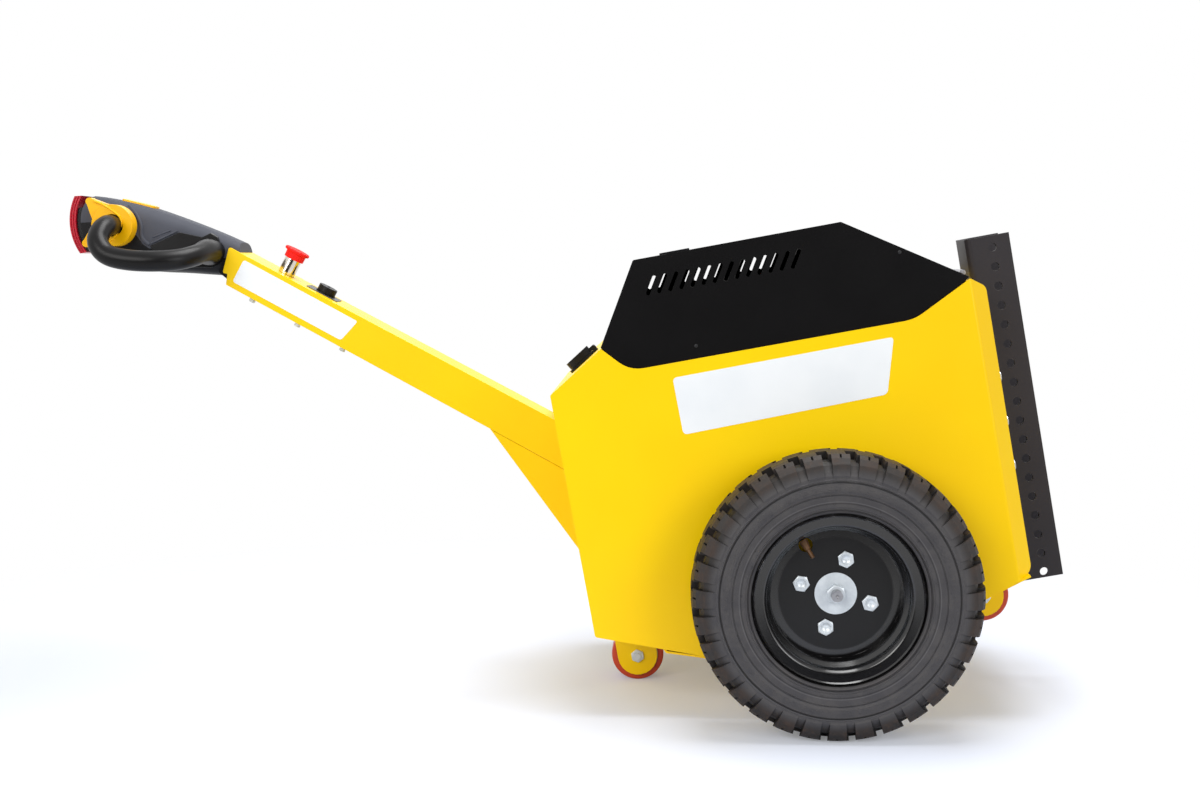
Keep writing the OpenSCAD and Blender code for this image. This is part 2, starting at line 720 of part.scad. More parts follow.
horn_l = 54;
horn_w = 28;
horn_h = 5.5;
horn_r = 6;
horn_sink = 3;
module horn_place() {
    s = spline(section_shares, 0.64);
    a = spline(section_shares, 0.60);
    b = spline(section_shares, 0.68);
    slope = atan2((b[1] - a[1]) * head_h, (b[0] - a[0]) * head_l);
    translate([head_tail_x - s[0] * head_l, 0, head_foot_z + s[1] * head_h]) rotate([0, slope, 0]) children();
}
module horn_form(gap, h)
    linear_extrude(h) polygon(rounded([for (c = [[-1, -1], [1, -1], [1, 1], [-1, 1]])
        [c[0] * (horn_l / 2 + gap), c[1] * (horn_w / 2 + gap)]], [1, 1, 1, 1] * horn_r));
module horn_button() color("gold") horn_place() translate([0, 0, -horn_sink]) horn_form(0, horn_h);

// Controls on the arm
stop_neck_d = 22;
stop_stem_d = 15;
stop_travel = 4;
stop_stem_sink = 6 * sheet_t;
stop_depth = stop_stem_sink + stop_travel + free;
contacts_h = 15;
key_neck_d = 22;
key_bezel_w = 1;
module stop_barrel()
    color("silver") on_arm(stop_at) difference() {
        union() {
            translate([0, 0, seat]) cylinder(d = stop_barrel_d, h = stop_barrel_h);
            translate([0, 0, -stop_depth + seat]) cylinder(d = stop_neck_d, h = stop_depth + sheet_t);
        }
        translate([0, 0, -stop_depth]) cylinder(d = stop_stem_d, h = stop_barrel_h + stop_depth + sheet_t);
    }

skirt_lap = 5;
skirt_wall = 1.7;
cavity_h = skirt_lap + stop_travel + free;
module stop_plunger()
    color("#1c1c1e") on_arm(stop_at) translate([0, 0, -stop_stem_sink])
        cylinder(d = stop_stem_d - 2 * run, h = stop_barrel_h - skirt_lap + cavity_h + stop_stem_sink - seat);

module stop_mushroom()
    color("red") on_arm(stop_at) translate([0, 0, stop_barrel_h - skirt_lap])
        rotate_extrude() polygon(concat([[0, cavity_h], [stop_barrel_d / 2 + free, cavity_h],
            [stop_barrel_d / 2 + free, 0], [stop_barrel_d / 2 + free + skirt_wall, 0],
            [stop_barrel_d / 2 + free + 1.2 * skirt_wall, 0.25 * stop_d]],
            corner(stop_d * [0.4, 0.26], stop_d * [0.5, 0.28], stop_d * [0.5, 0.4], skirt_wall),
            corner(stop_d * [0.5, 0.3], stop_d * [0.5, 0.385], stop_d * [0, 0.43], skirt_wall),
            [stop_d * [0, 0.43]]));

module stop_contacts()
    color("dimgray") on_arm(stop_at)
        translate([-stop_barrel_d / 2, -stop_barrel_d / 2, -stop_depth - contacts_h])
            cube([stop_barrel_d, stop_barrel_d, contacts_h]);

module key_housing()
    color("#1c1c1e") on_arm(key_at) difference() {
        union() {
            translate([0, 0, seat]) cylinder(d = key_d + 2 * key_bezel_w, h = sheet_t);
            translate([0, 0, -9 * sheet_t]) cylinder(d = key_neck_d, h = 10 * sheet_t);
        }
        translate([0, 0, -4 * sheet_t]) cylinder(d = key_d / 2 + 2 * run, h = 6 * sheet_t);
    }

module key_cap()
    color("#1c1c1e") on_arm(key_at) difference() {
        union() {
            translate([0, 0, sheet_t + 2 * seat]) cylinder(d = key_d, h = key_d / 3);
            translate([0, 0, -3 * sheet_t]) cylinder(d = key_d / 2, h = 5 * sheet_t);
        }
        translate([-key_d / 20, -key_d / 5, key_d / 4 + sheet_t]) cube([key_d / 10, key_d / 2.5, key_d]);
    }

// Charging socket on the sloping rear face
socket_d = 38;
socket_at_share = 0.57;
socket_y = -90;
socket_flange_d = 48;
slope_angle = atan2(slope_end_z - rear_top_z, body_back - slope_end_back);
module at_socket() {
    p = [-body_back, rear_top_z] + socket_at_share * [body_back - slope_end_back, slope_end_z - rear_top_z];
    translate([p[0], socket_y, p[1]]) rotate([0, -slope_angle, 0]) children();
}

cap_h = 11;
cap_pin_d = 3;
cap_ear_y = 7;
cap_ear_t = 4;
socket_flange_t = 4;
cap_hinge = [socket_flange_d / 2 + cap_pin_d, socket_flange_t + cap_pin_d + free + seat];
module charge_socket()
    color("#1c1c1e") at_socket() difference() {
        union() {
            translate([0, 0, seat]) cylinder(d = socket_flange_d, h = socket_flange_t - seat);
            translate([0, 0, -0.8 * socket_d])
                cylinder(d = socket_d, h = 0.8 * socket_d + socket_flange_t / 2);
            translate([0, -cap_ear_y - cap_ear_t, seat])
                cube([cap_hinge[0] + cap_pin_d, 2 * (cap_ear_y + cap_ear_t), socket_flange_t - seat]);
            both_sides() translate([cap_hinge[0], -cap_ear_y, 0]) rotate([90, 0, 0]) linear_extrude(cap_ear_t)
                polygon(rounded([[-cap_pin_d, seat], [cap_pin_d, seat], [cap_pin_d, cap_hinge[1] + cap_pin_d],
                    [-cap_pin_d, cap_hinge[1] + cap_pin_d]], [0, 0, 0.9, 0.9] * cap_pin_d));
        }
        translate([0, 0, -0.6 * socket_d]) cylinder(d = socket_d - 2 * socket_flange_t, h = socket_d);
        translate([cap_hinge[0], socket_d, cap_hinge[1]]) rotate([90, 0, 0])
            cylinder(d = cap_pin_d + 2 * run, h = 2 * socket_d);
    }

module charge_cap()
    color("#1c1c1e") at_socket() {
        translate([0, 0, socket_flange_t + free]) cylinder(d = socket_flange_d - 2 * cap_pin_d, h = cap_h);
        translate([0, -cap_ear_y + free, socket_flange_t + free])
            cube([cap_hinge[0], 2 * (cap_ear_y - free), 2 * cap_pin_d]);
        translate([cap_hinge[0], cap_ear_y - free, cap_hinge[1]]) rotate([90, 0, 0])
            cylinder(d = 2 * cap_pin_d, h = 2 * (cap_ear_y - free));
        translate([cap_hinge[0], cap_ear_y + cap_ear_t, cap_hinge[1]]) rotate([90, 0, 0])
            cylinder(d = cap_pin_d, h = 2 * (cap_ear_y + cap_ear_t));
    }

// Mast
mast_bolt_d = 12;
mast_bolt_y = 22;
mast_bolt_z = 82;
mast_bolt_rows = 3;
module at_mast_bolts()
    for (i = [0:mast_bolt_rows - 1], s = [-1, 1])
        translate([body_front, s * mast_bolt_y, mast_bolt_z + i * mast_bolt_pitch])
            rotate([0, 90, 0]) children();

pin_x = mast_x + 0.58 * mast_d;
pin_top_drop = 18;
pin_top_z = mast_top_z - pin_top_drop;
module mast_channel() {
    lip = [[mast_d, -mast_w / 2], [0, -mast_w / 2], [0, mast_w / 2], [mast_d, mast_w / 2]];
    color("#2a2a2c") difference() {
        translate([mast_x, 0, -mast_foot_drop]) linear_extrude(mast_top_z + mast_foot_drop)
            polygon(folded(bent(lip, 1.5 * mast_t), -mast_t));
        for (i = [0:pin_count - 1])
            cross_rod([pin_x, pin_top_z - i * pin_pitch], pin_hole_d / 2, -mast_w, mast_w);
        at_mast_bolts() cylinder(d = mast_bolt_d + 2 * run, h = mast_gap + 2 * mast_t);
    }
}

module mast_bolts()
    color("silver") at_mast_bolts() {
        translate([0, 0, -sheet_t - mast_bolt_d])
            cylinder(d = mast_bolt_d, h = mast_gap + mast_t + sheet_t + 1.5 * mast_bolt_d);
        translate([0, 0, -sheet_t - 0.83 * mast_bolt_d - seat]) hex(1.58 * mast_bolt_d, 0.83 * mast_bolt_d);
        translate([0, 0, seat]) hex(1.58 * mast_bolt_d, mast_gap - 2 * seat);
        translate([0, 0, mast_gap + mast_t + seat]) hex(1.58 * mast_bolt_d, 0.62 * mast_bolt_d);
    }

// Castors
cheek_gap = 2.5;
cheek_in = roller_w / 2 + cheek_gap;
castor_drops = [-castor_back, castor_front];

module castor_bracket(x) {
    pan = x < 0
        ? [[-body_back, -foot_drop + sheet_t + free],
            [-body_back + belly_rear_run, -belly_drop + sheet_t + free]]
        : pan_front;
    r = 0.38 * roller_d;
    top = [for (end = [x - r, x + r]) [end, line_z(pan[0], pan[1], end) - 2 * seat]];
    color("gold") difference() {
        union() {
            both_sides() side_plate(concat([for (a = [0:15:180]) [x - r * cos(a), -castor_drop - r * sin(a)]],
                [top[1], top[0]]), cheek_in, cheek_in + cheek_t);
            side_plate(folded(top, -cheek_t), -cheek_in - cheek_t, cheek_in + cheek_t);
        }
        cross_rod([x, -castor_drop], castor_bolt_d / 2 + run, -half_w, half_w);
    }
}

module castor_bolt(x, side) {
    grip_w = cheek_in + cheek_t;
    translate([x, 0, -castor_drop]) mirror([0, side, 0]) rotate([90, 0, 0]) {
        translate([0, 0, -grip_w - 1.4 * castor_bolt_d])
            cylinder(d = castor_bolt_d, h = 2 * grip_w + 1.65 * castor_bolt_d);
        translate([0, 0, grip_w + seat]) hex(1.58 * castor_bolt_d, 0.62 * castor_bolt_d);
        translate([0, 0, -grip_w - seat - 0.2 * castor_bolt_d])
            cylinder(d = 2 * castor_bolt_d, h = 0.2 * castor_bolt_d);
        translate([0, 0, -grip_w - 2 * seat - 1.05 * castor_bolt_d])
            hex(1.58 * castor_bolt_d, 0.84 * castor_bolt_d);
    }
}
module castor_bolts() color("silver") { castor_bolt(-castor_back, 1); castor_bolt(castor_front, 0); }

module roller_core(x)
    color("gray") translate([x, 0, -castor_drop]) rotate([90, 0, 0]) difference() {
        union() {
            cylinder(r = roller_r - roller_tread, h = roller_w, center = true);
            cylinder(d = 2.2 * castor_bolt_d, h = 2 * (cheek_in - seat), center = true);
        }
        cylinder(d = castor_bolt_d + 2 * run, h = 2 * roller_w, center = true);
    }

roller_edge_r = 4;
module roller_tyre(x)
    color("#c0452a") translate([x, 0, -castor_drop]) rotate([90, 0, 0]) rotate_extrude()
        polygon(rounded([[roller_r - roller_tread + seat, -roller_w / 2], [roller_r, -roller_w / 2],
            [roller_r, roller_w / 2], [roller_r - roller_tread + seat, roller_w / 2]],
            [0, 1, 1, 0] * roller_edge_r));

// Main wheels, drawn with the axis up and the outside on top, for the right side
module on_axle(side)
    translate([axle_x, 0, wheel_r]) mirror([0, side > 0 ? 1 : 0, 0])
        translate([0, -track_w / 2, 0]) rotate([90, 0, 0]) children();

wall_h = wheel_r - rim_d / 2;
tread_shares = [[1, 0.40], [0.985, 0.62], [0.94, 0.78], [0.86, 0.90], [0.708, 0.97]];
wall_shares = [[0.63, 0.965], [0.53, 1.00], [0.50, 1.00], [0.47, 0.975], [0.30, 0.955], [0.25, 0.935],
    [0.235, 0.945], [0.205, 0.90], [0.185, 0.83]];
bead_shares = [[0.18, 0.715], [0.03, 0.70], [0.0, 0.66], [0.0, 0.50]];
cavity_shares = [[0.12, 0.52], [0.30, 0.74], [0.60, 0.80], [0.76, 0.66], [0.82, 0.40]];
function tyre_points(shares) =
    [for (s = shares) [rim_d / 2 + seat + s[0] * (wall_h - seat), s[1] * tyre_w / 2]];
function whole(half) = concat(reversed(mirrored(half)), half);
lug_stand = 1.2;
lug_low = rim_d / 2 + 0.55 * wall_h;

lug_foot_shares = [[0.86, 0.40], [0.82, 0.64], [0.74, 0.82], [0.62, 0.92]];
module tread_gear(phase, share, notch, y0, y1) {
    pitch = 360 / lug_count;
    high = wheel_r / cos(pitch);
    notch_r = wheel_r - 0.6 * tread_h;
    function at(r, a) = r * [cos(a), sin(a)];
    w = share * pitch / 2;
    n = notch * pitch / 2;
    teeth = [for (i = [0:lug_count - 1]) let(a = (i + phase) * pitch)
        each concat([at(lug_low, a - w), at(high, a - w)],
            notch > 0 ? [at(high, a - n), at(notch_r, a - n), at(notch_r, a + n), at(high, a + n)] : [],
            [at(high, a + w), at(lug_low, a + w)])];
    translate([0, 0, y0]) linear_extrude(y1 - y0) polygon(teeth);
}

module tyre() {
    tread = tyre_points(tread_shares);
    walls = tyre_points(wall_shares);
    bead = tyre_points(bead_shares);
    cavity = tyre_points(cavity_shares);
    groove = [for (p = tread) if (p[0] > wheel_r - 0.2 * wall_h) [p[0] - tread_h, p[1] * 0.985]];
    edge = tyre_w / 2;
    color("#3c3c3e") union() {
        rotate_extrude($fn = 120) polygon(concat(
            whole(reversed(concat(groove, [tread[4] - [0, lug_stand]], walls, bead))),
            reversed(whole(cavity))));
        intersection() {
            rotate_extrude($fn = 120) polygon(whole(concat(tyre_points(lug_foot_shares), reversed(tread))));
            union() {
                for (s = [0, 1]) mirror([0, 0, s]) {
                    tread_gear(0.5 * s, 0.66, 0.07, 0.60 * edge, edge);
                    tread_gear(0.5 * s + 0.12, 0.62, 0, 0.12 * edge, 0.62 * edge);
                }
                difference() {
                    cylinder(r = wheel_r + over, h = 0.3 * edge, center = true);
                    cylinder(r = lug_low, h = edge, center = true);
                }
            }
        }
    }
}

rim_t = 3;
well_depth = 6.6;
well_r = rim_d / 2 - well_depth;
disc_sink = 2;
disc_face = -disc_sink;
disc_back = disc_face - disc_t;
pilot_r = 26.7;
bolt_slack = 1;
flange_roll = 2.5;
valve_hole_d = 20;
valve_at = 80;
valve_turn = 122;
bolt_turn = 74.3;
rim_half = [[well_r, 0.37 * rim_w / 2], [rim_d / 2, 0.53 * rim_w / 2], [rim_d / 2, 0.82 * rim_w / 2],
    [rim_d / 2 + rim_t, 0.90 * rim_w / 2],
    [rim_flange_d / 2 - flange_roll, 0.93 * rim_w / 2], [rim_flange_d / 2, rim_w / 2]];

module rim()
    color("#1a1a1c") difference() {
        union() {
            rotate_extrude($fn = 120) polygon(folded(bent(whole(rim_half), 2 * rim_t / 3), rim_t));
            translate([0, 0, disc_back]) cylinder(r = well_r - rim_t / 2, h = disc_t);
        }
        translate([0, 0, disc_back - over]) cylinder(r = pilot_r + seat, h = disc_t + 2 * over);
        at_wheel_bolts() translate([0, 0, disc_back - over])
            cylinder(d = wheel_bolt_d + bolt_slack, h = disc_t + 2 * over);
        rotate([0, 0, valve_turn]) translate([valve_at, 0, disc_back - over])
            cylinder(d = valve_hole_d, h = disc_t + 2 * over);
    }

module at_wheel_bolts()
    for (i = [0:wheel_bolt_count - 1])
        rotate([0, 0, bolt_turn + i * 360 / wheel_bolt_count]) translate([wheel_pcd / 2, 0, 0]) children();

hub_gap = 7;
hub_inner = -(track_w / 2 - half_w) + hub_gap;
hub_flange_d = wheel_pcd + 2.5 * wheel_bolt_d;
hub_flange_t = 10;
shaft_step = 2.5;
spindle_d = shaft_d - 2 * shaft_step;
module hub()
    color("dimgray") difference() {
        union() {
            translate([0, 0, disc_back - seat - hub_flange_t]) cylinder(d = hub_flange_d, h = hub_flange_t);
            translate([0, 0, hub_inner]) cylinder(d = 2 * shaft_d, h = disc_back - seat - hub_inner);
            translate([0, 0, disc_back - seat - over]) cylinder(r = pilot_r, h = disc_t + over);
        }
        translate([0, 0, hub_inner - over]) cylinder(d = spindle_d + 2 * run, h = 2 * track_w);
        at_wheel_bolts() translate([0, 0, disc_back - 2 * hub_flange_t])
            cylinder(d = wheel_bolt_d + 2 * run, h = 3 * hub_flange_t);
    }

module wheel_bolts()
    color("silver") at_wheel_bolts() {
        translate([0, 0, disc_back - hub_flange_t])
            cylinder(d = wheel_bolt_d, h = hub_flange_t + disc_t + wheel_bolt_d / 4);
        translate([0, 0, disc_face + seat]) intersection() {
            hex(1.75 * wheel_bolt_d, wheel_bolt_d);
            translate([0, 0, -0.3 * wheel_bolt_d]) sphere(r = 1.25 * wheel_bolt_d);
        }
    }

axle_thread_d = 16;
axle_thread_l = 22;
axle_tip_d = 6;
axle_tip_l = 27;
module axle_shaft() {
    inner = -(track_w / 2 - shaft_d);
    color("silver") {
        translate([0, 0, inner]) cylinder(d = shaft_d, h = hub_inner - seat - inner);
        translate([0, 0, inner]) cylinder(d = spindle_d, h = disc_face - inner);
        translate([0, 0, inner]) cylinder(d = axle_thread_d, h = disc_face + axle_thread_l - inner);
        translate([0, 0, disc_face]) cylinder(d = axle_tip_d, h = axle_tip_l);
    }
}

module axle_nut()
    color("silver") difference() {
        union() {
            translate([0, 0, disc_face + seat]) cylinder(d = axle_washer_d, h = rim_t);
            translate([0, 0, disc_face + seat + rim_t]) hex(1.5 * axle_thread_d, 0.75 * axle_thread_d);
        }
        translate([0, 0, disc_face - over]) cylinder(d = axle_thread_d + 2 * run, h = 2 * shaft_d);
    }

valve_foot = 3;
valve_base_d = 13;
valve_base_h = 14;
valve_d = 6;
valve_l = 30;
module valve()
    color("#b08040") rotate([0, 0, valve_turn]) translate([well_r - rim_t - seat, 0, 0.28 * rim_w / 2])
        rotate([0, -62, 0]) {
            intersection() {
                translate([0, 0, valve_foot])
                    cylinder(d1 = valve_base_d, d2 = 0.62 * valve_base_d, h = valve_base_h);
                cylinder(d = valve_base_d, h = valve_foot + valve_base_h);
            }
            translate([0, 0, 0.6 * valve_foot]) cylinder(d = valve_d, h = valve_l - 0.6 * valve_foot);
        }

// Drive, inside the body on the main axle
tube_d = 2 * shaft_d;
bearing_depth = 18;
tube_end = inner_w - bearing_depth;
bearing_d = 3 * shaft_d;
bearing_t = 12;
tube_slack = 2;
case_neck = 6;
module transaxle_housing()
    color("gray") difference() {
        union() {
            cross_rod([0, 0], case_d / 2, -case_d / 2.4, case_d / 2.4);
            cross_rod([0, 0], tube_d / 2, -tube_end, tube_end);
            rotate([0, 90, 0]) cylinder(d = 0.7 * motor_d, h = case_d / 2 + case_neck - seat);
            both_sides() cross_rod([0, 0], 0.42 * case_d, case_d / 2.4, case_d / 1.9);
        }
        cross_rod([0, 0], shaft_d / 2 + tube_slack, -inner_w, inner_w);
    }

module axle_bearings()
    both_sides() color("gray") difference() {
        union() {
            cross_rod([0, 0], bearing_d / 2, -inner_w + seat, -inner_w + bearing_t);
            cross_rod([0, 0], tube_d / 2, -inner_w + bearing_t - over, -tube_end - seat);
        }
        cross_rod([0, 0], shaft_d / 2 + run, -half_w, -shaft_d);
    }

motor_band_h = 2;
terminal_d = 8;
terminal_h = 20;
terminal_y = 18;
module drive_motor() {
    start = case_d / 2 + case_neck;
    color("#303032") rotate([0, 90, 0]) {
        translate([0, 0, start]) cylinder(d = motor_d, h = motor_l);
        for (at = [0.125, 0.8]) translate([0, 0, start + at * motor_l])
            cylinder(d = motor_d + 2 * motor_band_h, h = motor_l / 10);
        both_sides() translate([-motor_d / 2 - terminal_h / 2, terminal_y, start + motor_l * 0.4])
            rotate([0, 90, 0]) cylinder(d = terminal_d, h = terminal_h);
    }
}

module parking_brake()
    color("#8a6a30") rotate([0, 90, 0]) translate([0, 0, case_d / 2 + case_neck + motor_l + seat]) {
        cylinder(d = brake_d, h = brake_t);
        cylinder(d = 0.4 * brake_d, h = 1.15 * brake_t);
    }

// Batteries on their tray
tray_z = 92;
tray_back = 300;
tray_l = 510;
tray_wall_h = 45;
tray_hole_d = 60;
tray_hole_shares = [0.12, 0.41, 0.84];
module battery_tray()
    color("gold") difference() {
        translate([-tray_back, 0, tray_z]) rotate([90, 0, 90]) linear_extrude(tray_l)
            polygon(folded([[-inner_w + seat, tray_wall_h], [-inner_w + seat, 0], [inner_w - seat, 0],
                [inner_w - seat, tray_wall_h]], sheet_t));
        for (s = tray_hole_shares)
            translate([-tray_back + s * tray_l, 0, 0]) cylinder(d = tray_hole_d, h = 2 * tray_z);
    }

battery_z = tray_z + sheet_t + seat;
battery_inset = 8;
battery_x = -tray_back + battery_inset;
battery_gap = 2;
battery_lip = 3;
post_d = 16;
post_h = 20;
post_inset = 25;
post_rise = 8;
module batteries()
    both_sides() {
        color("#202024") {
            translate([battery_x, battery_gap, battery_z]) cube([battery_l, battery_w, 0.82 * battery_h]);
            translate([battery_x + battery_lip, battery_gap + battery_lip, battery_z])
                cube([battery_l, battery_w, battery_h - post_rise] - battery_lip * [2, 2, 1]);
            translate([battery_x, battery_gap, battery_z + 0.88 * battery_h])
                cube([battery_l, battery_w, 0.12 * battery_h - post_rise]);
        }
        color("silver") for (x = [post_inset, battery_l - post_inset])
            translate([battery_x + x, battery_w - post_inset, battery_z + battery_h - post_h])
                cylinder(d = post_d, h = post_h);
    }

rod_d = 8;
rod_out = 10;
rod_rise = 16;
clamp_w = 30;
clamp_t = 5;
clamp_end = 12;
module battery_clamp() {
    y = battery_gap + battery_w + rod_out;
    x = battery_x + battery_l / 2;
    z = battery_z + battery_h - post_rise + seat;
    color("#303032") {
        translate([x - clamp_w / 2, -y - clamp_end, z]) cube([clamp_w, 2 * (y + clamp_end), clamp_t]);
        both_sides() translate([x, y, 0]) {
            translate([0, 0, battery_z]) cylinder(d = rod_d, h = z + rod_rise - battery_z);
            translate([0, 0, z + clamp_t]) hex(1.6 * rod_d, 0.8 * rod_d);
            translate([0, 0, battery_z]) cylinder(d = 2.25 * rod_d, h = 0.75 * rod_d);
        }
    }
}

controller_gap = 40;
controller_l = 150;
controller_w = 190;
controller_h = 60;
controller_fins = 12;
module motor_controller() {
    x = battery_x + battery_l + controller_gap;
    pitch = controller_w / controller_fins;
    color("silver") difference() {
        translate([x, -controller_w / 2, battery_z]) cube([controller_l, controller_w, controller_h]);
        for (i = [1:controller_fins - 1])
            translate([x - over, -controller_w / 2 + (i - 0.25) * pitch, battery_z + controller_h / 2])
                cube([controller_l + 2 * over, pitch / 2, controller_h]);
    }
}

in_body() mirror([0, 1, 0]) side_panel();  // side_panel_left
in_body() side_panel();  // side_panel_right
in_body() rear_panel();
in_body() front_panel();
in_body() floor_pan();
in_body() lid_shell();
in_body() lid_grip();
in_body() lid_hinge_leaf();
in_body() body_hinge_leaf();
in_body() hinge_pins();
in_body() arm_beam();
in_body() arm_gusset();
in_body() arm_bottom_cover();
in_body() arm_cover_screws();
in_body() head_upper_shell();
in_body() head_lower_shell();
in_body() mirror([0, 1, 0]) grip();  // grip_left
in_body() grip();  // grip_right
in_body() thumb_wheels();
in_body() belly_button();
in_body() horn_button();
in_body() stop_barrel();
in_body() stop_plunger();
in_body() stop_mushroom();
in_body() stop_contacts();
in_body() key_housing();
in_body() key_cap();
in_body() charge_socket();
in_body() charge_cap();
in_body() mast_channel();
in_body() mast_bolts();
in_body() castor_bracket(-castor_back);  // castor_bracket_rear
in_body() castor_bracket(castor_front);  // castor_bracket_front
in_body() castor_bolts();
in_body() roller_core(-castor_back);  // roller_core_rear
in_body() roller_core(castor_front);  // roller_core_front
in_body() roller_tyre(-castor_back);  // roller_tyre_rear
in_body() roller_tyre(castor_front);  // roller_tyre_front
on_axle(1) tyre();  // tyre_left
on_axle(-1) tyre();  // tyre_right
on_axle(1) rim();  // rim_left
on_axle(-1) rim();  // rim_right
on_axle(1) hub();  // hub_left
on_axle(-1) hub();  // hub_right
on_axle(1) wheel_bolts();  // wheel_bolts_left
on_axle(-1) wheel_bolts();  // wheel_bolts_right
on_axle(1) axle_shaft();  // axle_shaft_left
on_axle(-1) axle_shaft();  // axle_shaft_right
on_axle(1) axle_nut();  // axle_nut_left
on_axle(-1) axle_nut();  // axle_nut_right
on_axle(1) valve();  // valve_left
on_axle(-1) valve();  // valve_right
in_body() transaxle_housing();
in_body() axle_bearings();
in_body() drive_motor();
in_body() parking_brake();
in_body() battery_tray();
in_body() batteries();
in_body() battery_clamp();
in_body() motor_controller();
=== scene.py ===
import json
import math

import bmesh
import bpy
from mathutils import Matrix, Vector
from mathutils.bvhtree import BVHTree


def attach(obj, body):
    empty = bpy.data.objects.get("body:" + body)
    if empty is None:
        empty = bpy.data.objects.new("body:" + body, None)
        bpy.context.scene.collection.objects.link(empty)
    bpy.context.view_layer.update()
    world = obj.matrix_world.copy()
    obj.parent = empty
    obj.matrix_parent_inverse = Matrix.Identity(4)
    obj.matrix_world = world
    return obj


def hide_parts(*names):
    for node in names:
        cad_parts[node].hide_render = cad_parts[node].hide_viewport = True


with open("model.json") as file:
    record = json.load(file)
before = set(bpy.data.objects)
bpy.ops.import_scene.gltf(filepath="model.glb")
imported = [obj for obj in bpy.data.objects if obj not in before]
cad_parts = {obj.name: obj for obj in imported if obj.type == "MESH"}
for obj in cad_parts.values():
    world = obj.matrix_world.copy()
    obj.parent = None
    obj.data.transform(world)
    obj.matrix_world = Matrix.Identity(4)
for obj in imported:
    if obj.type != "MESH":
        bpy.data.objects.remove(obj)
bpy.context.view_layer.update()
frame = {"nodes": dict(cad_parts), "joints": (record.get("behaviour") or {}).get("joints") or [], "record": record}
nodes = frame["nodes"]
joints = {j["name"]: j for j in frame["joints"]}
slotOf = {s["node"]: s["material_slot"] for s in frame["record"]["subparts"]}
bodyOf = {n: b for b, members in frame["record"]["behaviour"]["bodies"].items() for n in members}
print("frame loaded:", len(nodes), "nodes")

hands = (("right", -1.0), ("left", 1.0))              # the right side is the near one, towards -Y
axle = Vector(joints["wheel_right_spin"]["pos_m"])    # the middle of the main axle
axle.y = 0.0
along = Vector(joints["belly_press"]["axis"])         # the body's own forward direction, nose up
bodyUp = Vector((-along.z, 0.0, along.x))
armUp = Vector(joints["stop_turn"]["axis"])           # square to the arm's top
armDown = Vector((armUp.z, 0.0, -armUp.x))            # down the arm, towards the body


def onBody(x, y, z):  # millimetres from the main axle, in the tilted body's directions
    return axle + (along * x + bodyUp * z + Vector((0.0, y, 0.0))) / 1000.0


class Wire:  # one output socket, so that shader maths reads as plain sums
    def __init__(self, coat, socket):
        self.coat, self.socket = coat, socket

    def maths(self, operation, a, b=0.0):
        return self.coat.add("ShaderNodeMath", {"operation": operation}, {0: a, 1: b})

    def __add__(self, other):
        return self.maths("ADD", self, other)

    def __sub__(self, other):
        return self.maths("SUBTRACT", self, other)

    def __rsub__(self, other):
        return self.maths("SUBTRACT", other, self)

    def __mul__(self, other):
        return self.maths("MULTIPLY", self, other)

    def __pow__(self, other):
        return self.maths("POWER", self, other)

    __radd__, __rmul__ = __add__, __mul__

    def between(self, low, high):  # 0 at low, 1 at high, smooth between them
        return self.coat.add("ShaderNodeMapRange", {"interpolation_type": "SMOOTHSTEP"},
                             {"Value": self, "From Min": low, "From Max": high})


class Coat:  # one material
    def __init__(self, name, **fixed):
        self.material = bpy.data.materials.new(name)
        self.material.use_nodes = True
        self.tree = self.material.node_tree
        self.shader = self.tree.nodes["Principled BSDF"]
        self.place = self.add("ShaderNodeTexCoord", {}, {}, "Object")
        for socket, value in fixed.items():
            self.feed(socket, value)

    def add(self, kind, settings, values, output=0):
        node = self.tree.nodes.new(kind)
        for key, value in settings.items():
            setattr(node, key, value)
        for key, value in values.items():
            if isinstance(value, Wire):
                self.tree.links.new(value.socket, node.inputs[key])
            else:
                node.inputs[key].default_value = value
        return Wire(self, node.outputs[output])

    def feed(self, socket, value):
        target = self.shader.inputs[socket.replace("_", " ")]
        if isinstance(value, Wire):
            self.tree.links.new(value.socket, target)
        else:
            target.default_value = value

    def noise(self, scale, detail=2.0, rough=0.5):
        return self.add("ShaderNodeTexNoise", {}, {"Vector": self.place, "Scale": scale, "Detail": detail,
                                                   "Roughness": rough})

    def mix(self, mask, a, b):
        return self.add("ShaderNodeMix", {"data_type": "RGBA"}, {0: mask, 6: a, 7: b}, 2)

    def bump(self, height, depth, strength=1.0):
        self.feed("Normal", self.add("ShaderNodeBump", {}, {"Height": height, "Distance": depth,
                                                            "Strength": strength}))

    def split(self):  # the place's X, Y and Z
        node = self.tree.nodes.new("ShaderNodeSeparateXYZ")
        self.tree.links.new(self.place.socket, node.inputs[0])
        return [Wire(self, s) for s in node.outputs]

    def edges(self, width):  # 1 on sharp outer edges, fading over that width
        bevel = self.add("ShaderNodeBevel", {"samples": 6}, {"Radius": width})
        face = self.add("ShaderNodeNewGeometry", {}, {}, "Normal")
        turn = self.add("ShaderNodeVectorMath", {"operation": "DOT_PRODUCT"}, {0: bevel, 1: face}, "Value")
        return (1.0 - turn).between(0.01, 0.2)


def rgb(r, g, b):  # an 8-bit screen colour as linear light
    def linear(v):
        v /= 255.0
        return v / 12.92 if v <= 0.04045 else ((v + 0.055) / 1.055) ** 2.4
    return (linear(r), linear(g), linear(b), 1.0)


coats = {}
paintLook = {"cloud": 3.1, "rubAndGlint": 38.0, "edge": 0.0016, "patch": 14.0, "spread": 0.12, "wornRough": 0.3,
             "clearRough": 0.18, "fineShare": 0.7, "coarse": 0.22}


